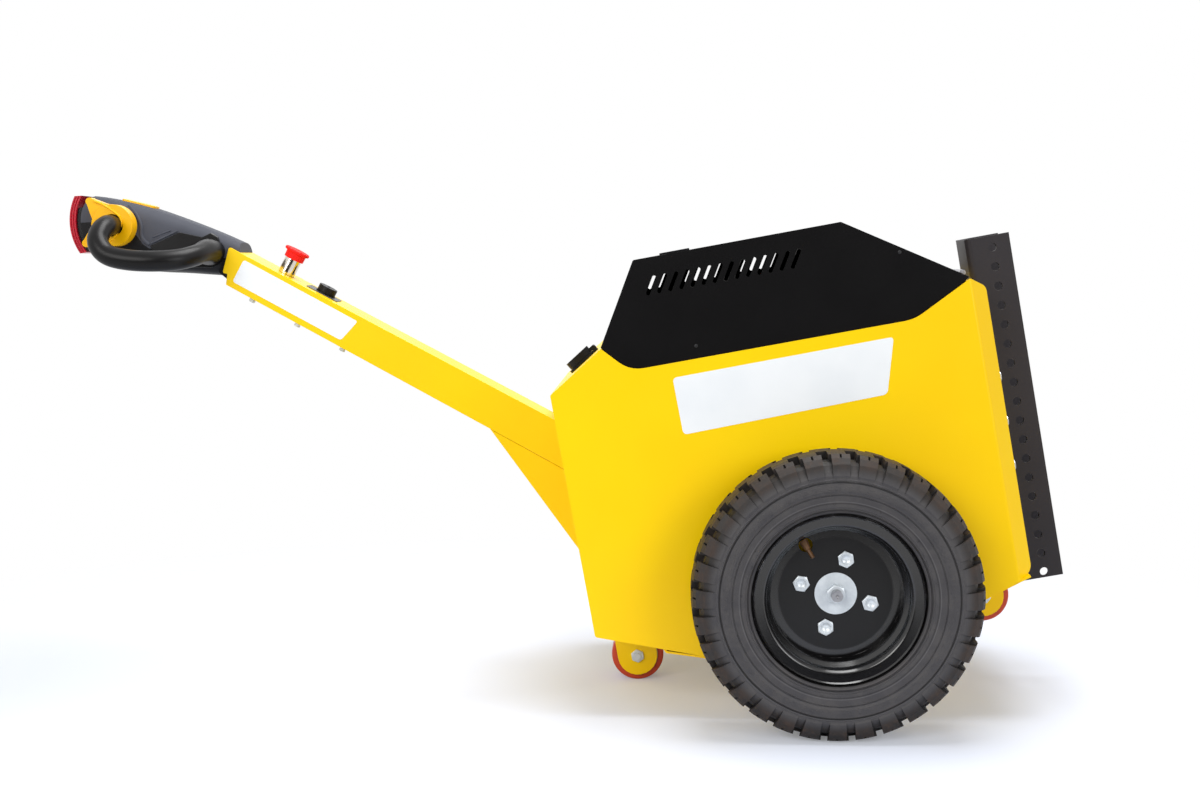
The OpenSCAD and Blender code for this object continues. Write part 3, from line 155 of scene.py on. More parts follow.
def powderPaint(name, colour, deep, wearAndGlint, rough=0.34, grain=650.0, depth=0.00012, coat=0.1, wearAndGlintShare=0.35, gleam=0.3):
    c = Coat(name, Coat_Weight=coat, Coat_Roughness=paintLook["clearRough"], Specular_IOR_Level=gleam)
    cloud = c.noise(paintLook["cloud"], 3.0).between(0.3, 0.7)
    rubAndGlint = c.noise(paintLook["rubAndGlint"], 4.0, 0.6).between(0.52, 0.66)
    # patches of light colour on the sharp edges: partly paint worn through, partly a painted highlight along the
    # edges
    edge = c.edges(paintLook["edge"]) * rubAndGlint * wearAndGlintShare
    c.feed("Base Color", c.mix(edge, c.mix(cloud, colour, deep), wearAndGlint))
    patch = (c.noise(paintLook["patch"], 4.0) - 0.5) * paintLook["spread"]
    c.feed("Roughness", rough + patch + edge * paintLook["wornRough"])
    fine = paintLook["fineShare"]
    c.bump(c.noise(grain, 1.5) * fine + c.noise(grain * paintLook["coarse"], 1.0) * (1.0 - fine), depth, 0.5)
    coats[name] = c


paints = {
    "yellowPaint": {"colour": rgb(255, 214, 0), "deep": rgb(255, 206, 0), "wearAndGlint": rgb(168, 150, 112),
                    "coat": 0.05, "gleam": 0.2},
    # the black powder's light grey edges are partly wear and partly a painted highlight
    "blackPowder": {"colour": rgb(9, 8, 9), "deep": rgb(7, 6, 7), "wearAndGlint": rgb(120, 118, 116), "rough": 0.42,
                    "grain": 900.0, "depth": 0.0003, "coat": 0.0, "wearAndGlintShare": 0.7, "gleam": 0.13},
    "mastPowder": {"colour": rgb(54, 50, 53), "deep": rgb(46, 43, 46), "wearAndGlint": rgb(120, 116, 112), "rough": 0.42,
                   "grain": 800.0, "depth": 0.0002, "coat": 0.0, "wearAndGlintShare": 0.6, "gleam": 0.24},
    "rimEnamel": {"colour": rgb(17, 15, 17), "deep": rgb(12, 11, 12), "wearAndGlint": rgb(150, 148, 148),
                  "grain": 520.0, "wearAndGlintShare": 0.5},
    "motorPaint": {"colour": rgb(40, 40, 42), "deep": rgb(30, 30, 31), "wearAndGlint": rgb(100, 96, 90), "rough": 0.4,
                   "grain": 500.0, "depth": 0.0002},
}
for name, look in paints.items():
    powderPaint(name, **look)

# the rim's barrel is glossier than its disc
rimGloss = {"barrel": (0.078, 0.082), "discCoat": 0.25, "discRough": 0.34, "spread": 0.1, "smoother": 0.2}
c = coats["rimEnamel"]
x, y, z = c.split()
barrel = (((x - axle.x) ** 2.0 + (z - axle.z) ** 2.0) ** 0.5).between(*rimGloss["barrel"])
c.feed("Coat Weight", rimGloss["discCoat"] + barrel * (1.0 - rimGloss["discCoat"]))
patch = c.noise(paintLook["patch"], 4.0) * rimGloss["spread"]
c.feed("Roughness", rimGloss["discRough"] + patch - barrel * rimGloss["smoother"])

plasticLook = {"cloud": 22.0, "cloudShare": 0.5, "lighter": 1.18, "lift": 0.004, "patch": 46.0, "spread": 0.08}


def plastic(name, colour, rough, grain=900.0, depth=0.00008, gleam=0.3):
    c = Coat(name, Specular_IOR_Level=gleam)
    tone = c.noise(plasticLook["cloud"], 3.0).between(0.3, 0.7) * plasticLook["cloudShare"]
    light = tuple(min(1.0, v * plasticLook["lighter"] + plasticLook["lift"]) for v in colour[:3]) + (1.0,)
    c.feed("Base Color", c.mix(tone, colour, light))
    c.feed("Roughness", rough + (c.noise(plasticLook["patch"], 4.0) - 0.5) * plasticLook["spread"])
    c.bump(c.noise(grain, 2.0), depth, 0.6)
    coats[name] = c


plastics = {
    "shellGrey": {"colour": rgb(78, 80, 88), "rough": 0.55, "gleam": 0.06},
    "shellBlack": {"colour": rgb(22, 22, 24), "rough": 0.4, "gleam": 0.16},
    "gripBlack": {"colour": rgb(11, 10, 11), "rough": 0.36, "grain": 700.0, "gleam": 0.22},
    "wheelYellow": {"colour": rgb(255, 186, 0), "rough": 0.3, "grain": 500.0, "depth": 0.00004, "gleam": 0.2},
    "stopRed": {"colour": rgb(232, 36, 32), "rough": 0.5, "grain": 400.0, "depth": 0.00003, "gleam": 0.08},
    "bellyCrimson": {"colour": rgb(190, 28, 48), "rough": 0.24, "grain": 400.0, "depth": 0.00003},
    "batteryBlack": {"colour": rgb(30, 30, 33), "rough": 0.45},
    "tinyLegend": {"colour": rgb(70, 72, 76), "rough": 0.4},
}
for name, look in plastics.items():
    plastic(name, **look)

# the reversing button: crimson face, black bellows where it slides into the head
bellyLook = {"stem": rgb(22, 22, 24), "middle": (14.0, 4.0), "stemEnds": (0.0790, 0.0794)}
c = coats["bellyCrimson"]
forward, upward = bellyLook["middle"]
noseArc = Vector(joints["throttle_turn"]["pos_m"]) + (along * forward + bodyUp * upward) / 1000.0
x, y, z = c.split()
reach = ((x - noseArc.x) ** 2.0 + (z - noseArc.z) ** 2.0) ** 0.5
stem = 1.0 - reach.between(*bellyLook["stemEnds"])
c.feed("Base Color", c.mix(stem, plastics["bellyCrimson"]["colour"], bellyLook["stem"]))

metalLook = {"cloud": 60.0, "patch": 90.0, "spread": 0.2}


def metal(name, colour, shade, rough, grain=180.0, metallic=1.0, depth=0.00005):
    c = Coat(name, Metallic=metallic)
    cloud = c.noise(metalLook["cloud"], 4.0, 0.6).between(0.25, 0.75)
    c.feed("Base Color", c.mix(cloud, colour, shade))
    c.feed("Roughness", rough + (c.noise(metalLook["patch"], 3.0) - 0.5) * metalLook["spread"])
    c.bump(c.noise(grain, 3.0, 0.6), depth, 0.5)
    coats[name] = c


metals = {
    "zinc": {"colour": rgb(226, 232, 236), "shade": rgb(204, 211, 217), "rough": 0.36, "metallic": 0.35},
    "chrome": {"colour": rgb(232, 226, 214), "shade": rgb(214, 206, 192), "rough": 0.14},
    "steel": {"colour": rgb(176, 176, 180), "shade": rgb(140, 140, 146), "rough": 0.36, "metallic": 0.6},
    "brass": {"colour": rgb(104, 70, 34), "shade": rgb(76, 50, 26), "rough": 0.45, "metallic": 0.3},
    "castIron": {"colour": rgb(74, 74, 77), "shade": rgb(56, 56, 58), "rough": 0.6, "grain": 260.0,
                 "metallic": 0.6, "depth": 0.0004},
    "aluminium": {"colour": rgb(186, 188, 190), "shade": rgb(160, 162, 166), "rough": 0.38},
    "rollerHub": {"colour": rgb(200, 190, 160), "shade": rgb(170, 160, 130), "rough": 0.45, "grain": 260.0,
                  "metallic": 0.5, "depth": 0.0002},
}
for name, look in metals.items():
    metal(name, **look)

# moulded polyurethane of the rollers, scuffed where it runs
rollerLook = {"colour": rgb(196, 66, 34), "scuffed": rgb(150, 60, 38), "rough": 0.38, "scuffs": 120.0,
              "scuffShare": 0.5, "scuffRough": 0.2, "grain": 500.0, "depth": 0.0001}
c = Coat("polyurethane", Specular_IOR_Level=0.45)
scuff = c.noise(rollerLook["scuffs"], 5.0, 0.7).between(0.5, 0.72)
c.feed("Base Color", c.mix(scuff * rollerLook["scuffShare"], rollerLook["colour"], rollerLook["scuffed"]))
c.feed("Roughness", rollerLook["rough"] + scuff * rollerLook["scuffRough"])
c.bump(c.noise(rollerLook["grain"], 3.0), rollerLook["depth"], 0.6)
coats["polyurethane"] = c

# vinyl of the blank labels
vinylLook = {"colour": rgb(243, 246, 248), "shade": rgb(236, 240, 243), "cloud": 9.0, "rough": 0.36,
             "patch": 30.0, "spread": 0.08, "grain": 160.0, "depth": 0.00005}
c = Coat("labelVinyl", Coat_Weight=0.2, Coat_Roughness=0.25)
cloud = c.noise(vinylLook["cloud"], 3.0).between(0.35, 0.7)
c.feed("Base Color", c.mix(cloud, vinylLook["colour"], vinylLook["shade"]))
c.feed("Roughness", vinylLook["rough"] + (c.noise(vinylLook["patch"], 3.0) - 0.5) * vinylLook["spread"])
c.bump(c.noise(vinylLook["grain"], 2.0), vinylLook["depth"], 0.4)
coats["labelVinyl"] = c

tyreLook = {  # metres from the axle; each ring has its place, its half width and its share
    "rings": [(0.1252, 0.0012, 0.9), (0.1290, 0.0008, 0.5), (0.1465, 0.0012, 0.7), (0.1640, 0.0014, 1.0),
              (0.1672, 0.0008, 0.6), (0.1210, 0.0008, 0.5)],
    "lines": [(0.1645, 0.0022, 0.85), (0.1350, 0.0014, 0.6), (0.1265, 0.0012, 0.5), (0.1200, 0.0016, 0.9)],
    "highlightRings": [(0.1672, 0.0014, 0.5), (0.1372, 0.0010, 0.35), (0.1290, 0.0010, 0.3)],
    "tread": (0.172, 0.186), "fineBand": (0.1500, 0.1600), "fineFade": 0.0014, "fineShare": 0.12, "fine": 260.0,
    "hollow": 0.012, "depth": 0.004, "grain": 420.0, "grainShare": 0.12, "rough": 0.5, "dustRough": 0.18,
    "dustCloud": 45.0, "dustShare": 0.6, "streaks": 160.0,
    # of the colours below, the light grey is a painted highlight and the near black a painted shade
    "wall": rgb(60, 58, 60), "dust": rgb(78, 75, 74), "paintedHighlight": rgb(112, 110, 112),
    "lug": rgb(34, 30, 28), "scuffed": rgb(66, 50, 40), "paintedShade": rgb(14, 12, 11),
}
c = Coat("tyreRubber", Specular_IOR_Level=0.4)
x, y, z = c.split()
reach = ((x - axle.x) ** 2.0 + (z - axle.z) ** 2.0) ** 0.5


def ring(reach, place, half, share):
    return reach.between(place - half, place) * (1.0 - reach.between(place, place + half)) * share


tread = reach.between(*tyreLook["tread"])
dust = c.noise(tyreLook["dustCloud"], 5.0, 0.65).between(0.35, 0.7)
streak = c.noise(tyreLook["streaks"], 4.0, 0.7).between(0.5, 0.75)
dusty = dust * tyreLook["dustShare"]
wall = c.mix(dusty, tyreLook["wall"], tyreLook["dust"])
lug = c.mix((dusty + streak * (1.0 - tyreLook["dustShare"])) * tread, tyreLook["lug"], tyreLook["scuffed"])
rubber = c.mix(tread, wall, lug)
# the lines are painted shade and the ridges painted highlight: thin rings of colour along the moulded rings of the
# wall
for row in tyreLook["lines"]:
    rubber = c.mix(ring(reach, *row), rubber, tyreLook["paintedShade"])
for row in tyreLook["highlightRings"]:
    rubber = c.mix(ring(reach, *row), rubber, tyreLook["paintedHighlight"])
# ambient occlusion paints shade into the hollows between the lugs and into the grooves
deep = c.add("ShaderNodeAmbientOcclusion", {"samples": 6, "only_local": True}, {"Distance": tyreLook["hollow"]},
             "AO")
c.feed("Base Color", c.mix((1.0 - deep).between(0.08, 0.6), rubber, tyreLook["paintedShade"]))
c.feed("Roughness", tyreLook["rough"] + dust * tyreLook["dustRough"])
height = c.noise(tyreLook["grain"], 4.0, 0.6) * tyreLook["grainShare"]
for row in tyreLook["rings"]:
    height = height + ring(reach, *row)
low, high = tyreLook["fineBand"]  # fine roughness on the wall
fade = tyreLook["fineFade"]
band = reach.between(low, low + fade) * (1.0 - reach.between(high - fade, high))
height = height + c.noise(tyreLook["fine"], 1.0).between(0.52, 0.56) * band * tyreLook["fineShare"]
c.bump(height, tyreLook["depth"], 0.8)
coats["tyreRubber"] = c
print("finishes made:", len(coats))

paintOf = {
    "yellow_paint": "yellowPaint", "black_paint": "blackPowder", "mast_paint": "mastPowder",
    "rim_paint": "rimEnamel", "motor_paint": "motorPaint",
    "zinc": "zinc", "steel": "steel", "chrome": "chrome", "brass": "brass",
    "cast": "castIron", "aluminium": "aluminium", "roller_core": "rollerHub", "polyurethane": "polyurethane",
    "tyre_rubber": "tyreRubber", "black_plastic": "shellBlack", "grey_plastic": "shellGrey",
    "yellow_plastic": "wheelYellow", "red_plastic": "stopRed", "crimson_plastic": "bellyCrimson",
    "battery_case": "batteryBlack",
}


def dress(piece, coat):
    piece.data.materials.clear()
    piece.data.materials.append(coats[coat].material)


for name, piece in nodes.items():
    dress(piece, "gripBlack" if name.startswith("grip_") else paintOf[slotOf[name]])


def only(*pieces):  # these pieces alone are selected, the last one active
    bpy.ops.object.select_all(action="DESELECT")
    for p in pieces:
        p.select_set(True)
        bpy.context.view_layer.objects.active = p


def applyAll(piece):
    only(piece)
    for m in list(piece.modifiers):
        bpy.ops.object.modifier_apply(modifier=m.name)


meshCare = {"weld": 0.00001, "flat": 0.3, "weight": 60, "roundFrom": 32.0, "plainNodes": 30.0}  # angles in degrees


def copyOf(name):  # left in edit mode, with all of it selected
    piece = nodes[name].copy()
    piece.data = nodes[name].data.copy()
    piece.name = name + "_dressed"
    for key in list(piece.keys()):
        del piece[key]
    piece.parent = None
    bpy.context.scene.collection.objects.link(piece)
    only(piece)
    bpy.ops.object.mode_set(mode="EDIT")
    bpy.ops.mesh.select_all(action="SELECT")
    bpy.ops.mesh.remove_doubles(threshold=meshCare["weld"])
    return piece


def roundEdges(piece, width, segments=2, angle=30.0):
    bevel = piece.modifiers.new("round", "BEVEL")
    bevel.width, bevel.segments = width, segments
    bevel.limit_method, bevel.angle_limit = "ANGLE", math.radians(angle)
    applyAll(piece)


def shadeBy(piece, angle):
    only(piece)
    bpy.ops.object.shade_smooth_by_angle(angle=math.radians(angle))


def evenNormals(piece, angle):  # smooth roundings between faces that stay flat
    shadeBy(piece, angle)
    weigh = piece.modifiers.new("weigh", "WEIGHTED_NORMAL")
    weigh.keep_sharp = True
    weigh.weight = meshCare["weight"]
    applyAll(piece)


def standIn(piece, name):  # takes the place of that node
    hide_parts(name)
    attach(piece, bodyOf[name])


def finishNew(piece, coat, body):
    dress(piece, coat)
    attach(piece, body)


softEdges = {  # node: width of the rounding in metres
    "side_panel_left": 0.0011, "side_panel_right": 0.0011, "rear_panel": 0.0011, "front_panel": 0.0011,
    "lid_shell": 0.0012, "arm_beam": 0.0011, "arm_gusset": 0.0011, "mast_channel": 0.0008,
    "thumb_wheels": 0.0016, "horn_button": 0.001, "stop_barrel": 0.0007, "key_cap": 0.0009,
    "charge_cap": 0.0016, "lid_grip": 0.0008, "castor_bracket_rear": 0.0008, "castor_bracket_front": 0.0008,
    "belly_button": 0.0014,
}
for name, width in softEdges.items():
    piece = copyOf(name)
    bpy.ops.mesh.dissolve_limited(angle_limit=math.radians(meshCare["flat"]))
    bpy.ops.object.mode_set(mode="OBJECT")
    roundEdges(piece, width, angle=meshCare["roundFrom"])
    evenNormals(piece, meshCare["roundFrom"])
    standIn(piece, name)
print("edges rounded:", len(softEdges))

headShells = {"rounding": 0.0008, "sharpFrom": 50.0, "smoothTo": 40.0}  # facets blend, seams stay crisp
for name in ("head_upper_shell", "head_lower_shell"):
    piece = copyOf(name)
    bpy.ops.object.mode_set(mode="OBJECT")
    roundEdges(piece, headShells["rounding"], angle=headShells["sharpFrom"])
    evenNormals(piece, headShells["smoothTo"])
    standIn(piece, name)

gripLook = {"sharpFrom": 50.0, "crease": 0.85, "levels": 2}
for name in ("grip_left", "grip_right"):
    piece = copyOf(name)
    bpy.ops.mesh.tris_convert_to_quads()
    bpy.ops.object.mode_set(mode="OBJECT")
    bm = bmesh.new()
    bm.from_mesh(piece.data)
    crease = bm.edges.layers.float.new("crease_edge")
    for e in bm.edges:
        if len(e.link_faces) == 2 and e.calc_face_angle() > math.radians(gripLook["sharpFrom"]):
            e[crease] = gripLook["crease"]
    bm.to_mesh(piece.data)
    bm.free()
    rounder = piece.modifiers.new("rounder", "SUBSURF")
    rounder.levels = rounder.render_levels = gripLook["levels"]
    applyAll(piece)
    bpy.ops.object.shade_smooth()
    standIn(piece, name)
print("head and grips dressed")

for piece in nodes.values():  # turned and cast nodes keep their mesh and only shade smoothly
    if not piece.hide_render:
        shadeBy(piece, meshCare["plainNodes"])


def cutWith(piece, tool, operation):
    cut = piece.modifiers.new("cut", "BOOLEAN")
    cut.operation, cut.object, cut.solver = operation, tool, "EXACT"
    applyAll(piece)
    bpy.data.objects.remove(tool)


def cone(vertices, low, high, tall, at):  # two radii and a height in metres, along Z, its middle at that height
    bpy.ops.mesh.primitive_cone_add(vertices=vertices, radius1=low, radius2=high, depth=tall,
                                    location=(0.0, 0.0, at))
    return bpy.context.object


hexShape = {"corner": 0.47, "slope": 1.9, "trim": 1.002, "through": 1.2, "ball": 1.5, "ballUp": 1.05,
            "overlap": 0.001}


def hexHead(flats, tall, dish=None, bore=None, shank=None):  # on Z = 0, the shank's radius and length below
    head = cone(6, flats / math.sqrt(3.0), flats / math.sqrt(3.0), tall, tall / 2.0)
    top = flats * hexShape["corner"]
    cutWith(head, cone(96, top + tall * hexShape["slope"], top, tall * hexShape["trim"], tall / 2.0), "INTERSECT")
    if dish:
        bpy.ops.mesh.primitive_uv_sphere_add(segments=64, ring_count=32, radius=dish * hexShape["ball"],
                                             location=(0.0, 0.0, tall + dish * hexShape["ballUp"]))
        cutWith(head, bpy.context.object, "DIFFERENCE")
    if bore:
        cutWith(head, cone(96, bore, bore, tall * hexShape["through"], tall / 2.0), "DIFFERENCE")
    if shank:
        radius, length = shank
        cutWith(head, cone(48, radius, radius, length, hexShape["overlap"] - length / 2.0), "UNION")
    return head


def standOut(piece, at, side, turn=0.0):  # its Z points out of that side of the tug
    piece.matrix_world = (Matrix.Translation(at) @ Matrix.Rotation(math.radians(-90.0 * side), 4, "X")
                          @ Matrix.Rotation(math.radians(turn), 4, "Z"))
    return piece


def aim(piece, at, out):  # its Z points that way
    piece.matrix_world = Matrix.Translation(at) @ out.to_track_quat("Z", "Y").to_matrix().to_4x4()
    return piece


def joined(pieces, name):
    only(*pieces)
    bpy.ops.object.transform_apply(location=True, rotation=True, scale=True)
    bpy.ops.object.join()
    piece = bpy.context.object
    piece.name = name
    return piece


zincEdges = {"rounding": 0.0003, "roundFrom": 24.0, "smoothTo": 26.0}


def fastener(pieces, name):  # replaces the node of that name
    piece = joined(pieces, name + "_dressed")
    roundEdges(piece, zincEdges["rounding"], angle=zincEdges["roundFrom"])
    evenNormals(piece, zincEdges["smoothTo"])
    dress(piece, "zinc")
    standIn(piece, name)


wheelBolts = {"flats": 0.0208, "tall": 0.0085, "dish": 0.0066, "shank": 0.0058, "seatIn": 0.012,
              "together": 0.9, "turns": (8.0, 22.0, 4.0, 17.0)}
axleNut = {"washer": 0.0295, "washerTall": 0.003, "spring": 0.0172, "springTall": 0.0026, "bore": 0.0081,
           "cutter": 0.02, "flats": 0.024, "tall": 0.0105, "turn": 12.0}
shaftEnd = {"cutOff": 0.0045, "block": 0.04, "drill": 0.0052, "drillDeep": 0.009, "rounding": 0.001,
            "roundFrom": 40.0, "smoothTo": 30.0}


def washerOf(vertices, radius, tall, at):  # lies on that height, round the axle's thread
    washer = cone(vertices, radius, radius, tall, at + tall / 2.0)
    cutWith(washer, cone(96, axleNut["bore"], axleNut["bore"], axleNut["cutter"], 0.0), "DIFFERENCE")
    return washer


for hand, sign in hands:
    bolts = nodes["wheel_bolts_" + hand].data.vertices
    inner, outer = sorted((min(v.co.y for v in bolts), max(v.co.y for v in bolts)), key=abs)
    seatAt = outer - sign * wheelBolts["seatIn"]
    points = [Vector((v.co.x - axle.x, 0.0, v.co.z - axle.z)) for v in bolts]
    first = points[0].normalized()
    oneBolt = [v for v in points if v.normalized().dot(first) > wheelBolts["together"]]
    bearing = sum(math.atan2(v.z, v.x) for v in oneBolt) / len(oneBolt)
    circle = (max(v.length for v in points) + min(v.length for v in points)) / 2.0
    shank = (wheelBolts["shank"], abs(seatAt - inner))
    made = []
    for i, turn in enumerate(wheelBolts["turns"]):
        angle = bearing + i * math.pi / 2.0
        head = hexHead(wheelBolts["flats"], wheelBolts["tall"], wheelBolts["dish"], shank=shank)
        at = (axle.x + circle * math.cos(angle), seatAt, axle.z + circle * math.sin(angle))
        made.append(standOut(head, at, sign, turn))
    fastener(made, "wheel_bolts_" + hand)

    base = min((v.co.y for v in nodes["axle_nut_" + hand].data.vertices), key=abs)
    washer = washerOf(128, axleNut["washer"], axleNut["washerTall"], 0.0)
    spring = washerOf(96, axleNut["spring"], axleNut["springTall"], axleNut["washerTall"])
    hexagon = hexHead(axleNut["flats"], axleNut["tall"], bore=axleNut["bore"])
    seat = (axle.x, base, axle.z)
    top = (axle.x, base + sign * (axleNut["washerTall"] + axleNut["springTall"]), axle.z)
    fastener([standOut(washer, seat, sign), standOut(spring, seat, sign),
              standOut(hexagon, top, sign, axleNut["turn"])], "axle_nut_" + hand)

    shaft = copyOf("axle_shaft_" + hand)  # its tip is cut off, and the end is chamfered and centre drilled
    bpy.ops.object.mode_set(mode="OBJECT")
    end = max((v.co.y for v in shaft.data.vertices), key=abs) - sign * shaftEnd["cutOff"]
    bpy.ops.mesh.primitive_cube_add(size=shaftEnd["block"],
                                    location=(axle.x, end + sign * shaftEnd["block"] / 2.0, axle.z))
    cutWith(shaft, bpy.context.object, "DIFFERENCE")
    drill = standOut(cone(48, shaftEnd["drill"], 0.0, shaftEnd["drillDeep"], 0.0), (axle.x, end, axle.z), -sign)
    cutWith(shaft, drill, "DIFFERENCE")
    roundEdges(shaft, shaftEnd["rounding"], angle=shaftEnd["roundFrom"])
    evenNormals(shaft, shaftEnd["smoothTo"])
    standIn(shaft, "axle_shaft_" + hand)

castorBolts = {"shank": 0.006, "taper": 0.86, "washer": 0.0128, "washerTall": 0.0018, "flats": 0.0185,
               "nutTall": 0.0085, "nutTurn": 10.0, "headTall": 0.0075, "headTurn": 24.0, "dish": 0.0058,
               "tail": 0.0453, "seat": 0.0285}
made = []
for where, sign in (("rear", -1.0), ("front", 1.0)):  # the nut is on the near side at the rear, far in front
    at = Vector(joints["roller_%s_spin" % where]["pos_m"])
    seat, tail, tip = castorBolts["seat"], castorBolts["tail"], castorBolts["shank"] * castorBolts["taper"]
    made.append(standOut(cone(48, castorBolts["shank"], tip, tail + seat, (tail - seat) / 2.0),
                         (at.x, 0.0, at.z), sign))
    for side, tall, dish, turn in (
            (sign, castorBolts["nutTall"], None, castorBolts["nutTurn"]),
            (-sign, castorBolts["headTall"], castorBolts["dish"], castorBolts["headTurn"])):
        washer = cone(64, castorBolts["washer"], castorBolts["washer"], castorBolts["washerTall"],
                      castorBolts["washerTall"] / 2.0)
        made.append(standOut(washer, (at.x, side * (seat - castorBolts["washerTall"]), at.z), side))
        made.append(standOut(hexHead(castorBolts["flats"], tall, dish), (at.x, side * seat, at.z), side, turn))
fastener(made, "castor_bolts")
print("wheel fasteners made")

# moulding nibs on the tyres: short hairs at the shoulders, small stubs in two rings on the walls
hairs = {"between": (0.1994, 0.2020), "band": 0.0195, "tall": 0.0042, "thick": 0.00045, "tip": 0.3, "every": 9,
         "first": 4, "out": 0.9, "aside": 0.2, "fan": 0.25, "sway": 0.12, "raised": 0.42, "smoothTo": 40.0}
stubs = {"tall": 0.0036, "tip": 0.7, "from": 11.0,
         "rings": [(0.1463, 0.0018, 17, 0.0011), (0.1338, 0.0024, 13, 0.0009)]}  # radius, inset, count, thickness
for hand, sign in hands:
    tyre = nodes["tyre_" + hand].data.vertices
    outerEdge = max(v.co.y * sign for v in tyre)
    low, high = hairs["between"]
    corners = []
    for v in tyre:
        flat = Vector((v.co.x - axle.x, 0.0, v.co.z - axle.z))
        if low < flat.length < high and outerEdge - v.co.y * sign < hairs["band"]:
            corners.append((round(math.atan2(flat.z, flat.x), 3), v.co.copy(), flat.normalized()))
    corners.sort(key=lambda row: (row[0], row[1].y))
    made = []
    for i, (angle, at, out) in enumerate(corners):
        if i % hairs["every"] == hairs["first"] and (i // hairs["every"]) % 3 != 1:  # every third one is worn off
            aside = sign * (hairs["aside"] + hairs["fan"] * (i % 4))
            lean = (out * hairs["out"] + Vector((0.0, aside, hairs["sway"] * ((i % 5) - 2)))).normalized()
            hair = cone(8, hairs["thick"], hairs["thick"] * hairs["tip"], hairs["tall"], 0.0)
            made.append(aim(hair, at + lean * hairs["tall"] * hairs["raised"], lean))
    for radius, inset, count, thick in stubs["rings"]:
        for i in range(count):
            angle = math.radians(stubs["from"] + i * 360.0 / count)
            at = (axle.x + radius * math.cos(angle), sign * (outerEdge - inset), axle.z + radius * math.sin(angle))
            made.append(standOut(cone(16, thick, thick * stubs["tip"], stubs["tall"], 0.0), at, sign))
    piece = joined(made, "tyre_nibs_" + hand)
    shadeBy(piece, hairs["smoothTo"])
    finishNew(piece, "tyreRubber", bodyOf["tyre_" + hand])
print("tyre nibs made")


def thicken(push):  # the flat face that is being edited becomes a closed plate
    bpy.ops.mesh.select_all(action="SELECT")
    bpy.ops.mesh.extrude_region_move(TRANSFORM_OT_translate={"value": push})
    bpy.ops.mesh.select_all(action="SELECT")
    bpy.ops.mesh.normals_make_consistent(inside=False)
    bpy.ops.object.mode_set(mode="OBJECT")


def plate(name, outline, thick, rounding):  # an outline of points, thickened along Y
    bpy.ops.mesh.primitive_circle_add(vertices=len(outline), radius=1.0, fill_type="NGON")
    piece = bpy.context.object
    piece.name = name
    for vertex, at in zip(piece.data.vertices, outline):
        vertex.co = at
    only(piece)
    bpy.ops.object.mode_set(mode="EDIT")
    thicken((0.0, thick, 0.0))
    roundEdges(piece, rounding, 3)
    evenNormals(piece, 35.0)
    return piece


def ridge(name, points, radius, coat, body):  # a raised round rib through the points
    curve = bpy.data.curves.new(name, "CURVE")
    curve.dimensions = "3D"
    curve.bevel_depth, curve.bevel_resolution, curve.resolution_u, curve.use_fill_caps = radius, 5, 8, True
    spline = curve.splines.new("BEZIER")
    spline.bezier_points.add(len(points) - 1)
    for knot, at in zip(spline.bezier_points, points):
        knot.co = at
        knot.handle_left_type = knot.handle_right_type = "AUTO"
    piece = bpy.data.objects.new(name, curve)
    bpy.context.scene.collection.objects.link(piece)
    only(piece)
    bpy.ops.object.convert(target="MESH")
    piece = bpy.context.object
    shadeBy(piece, 50.0)
    finishNew(piece, coat, body)


def onSide(rows, sign):
    return [onBody(px, sign * py, pz) for px, py, pz in rows]


headTrim = {  # millimetres from the axle along the body, out to the side, and up; thicknesses in metres
    "fairing": [(-932, 52.5, 664), (-884, 47.5, 676.5), (-851.5, 42.6, 663), (-838, 41.2, 667), (-829, 39.9, 659),
                (-826, 39.5, 640), (-846, 41.8, 614), (-898, 48.7, 624), (-926, 52.0, 646)],
    "fairingThick": 0.018, "fairingRounding": 0.0012,
    "ribs": [[(-925, 49.0, 676.5), (-911, 47.0, 679.5), (-897, 45.0, 682)],
             [(-930, 50.3, 667.5), (-908, 47.8, 673.5), (-887, 45.2, 679)]],
    "ribThick": 0.0014,
    "collar": [(-957, 35.0, 731.5), (-945, 44.5, 714), (-940, 49.2, 697), (-941.5, 50.3, 679), (-934, 50.0, 666)],
    "collarThick": 0.003,
    "lip": [(-988, 74.0, 679), (-977.4, 74.6, 685), (-967.7, 74.6, 693.4), (-961, 74.6, 703.4), (-961, 74.6, 713),
            (-966.5, 74.6, 721), (-975.6, 74.6, 730.5), (-985, 74.6, 738.5), (-995, 74.6, 745)],
    "lipThick": 0.0018,
}
headBody, thumbBody = bodyOf["head_upper_shell"], bodyOf["thumb_wheels"]
for hand, sign in hands:
    fairing = plate("grip_fairing_" + hand, onSide(headTrim["fairing"], sign), -sign * headTrim["fairingThick"],
                    headTrim["fairingRounding"])
    finishNew(fairing, "gripBlack", headBody)
    for i, row in enumerate(headTrim["ribs"]):
        ridge("shell_rib_%d_%s" % (i + 1, hand), onSide(row, sign), headTrim["ribThick"], "shellGrey",
              headBody)
    ridge("shell_collar_" + hand, onSide(headTrim["collar"], sign), headTrim["collarThick"], "shellGrey",
          headBody)
    ridge("thumb_lip_" + hand, onSide(headTrim["lip"], sign), headTrim["lipThick"], "wheelYellow",
          thumbBody)

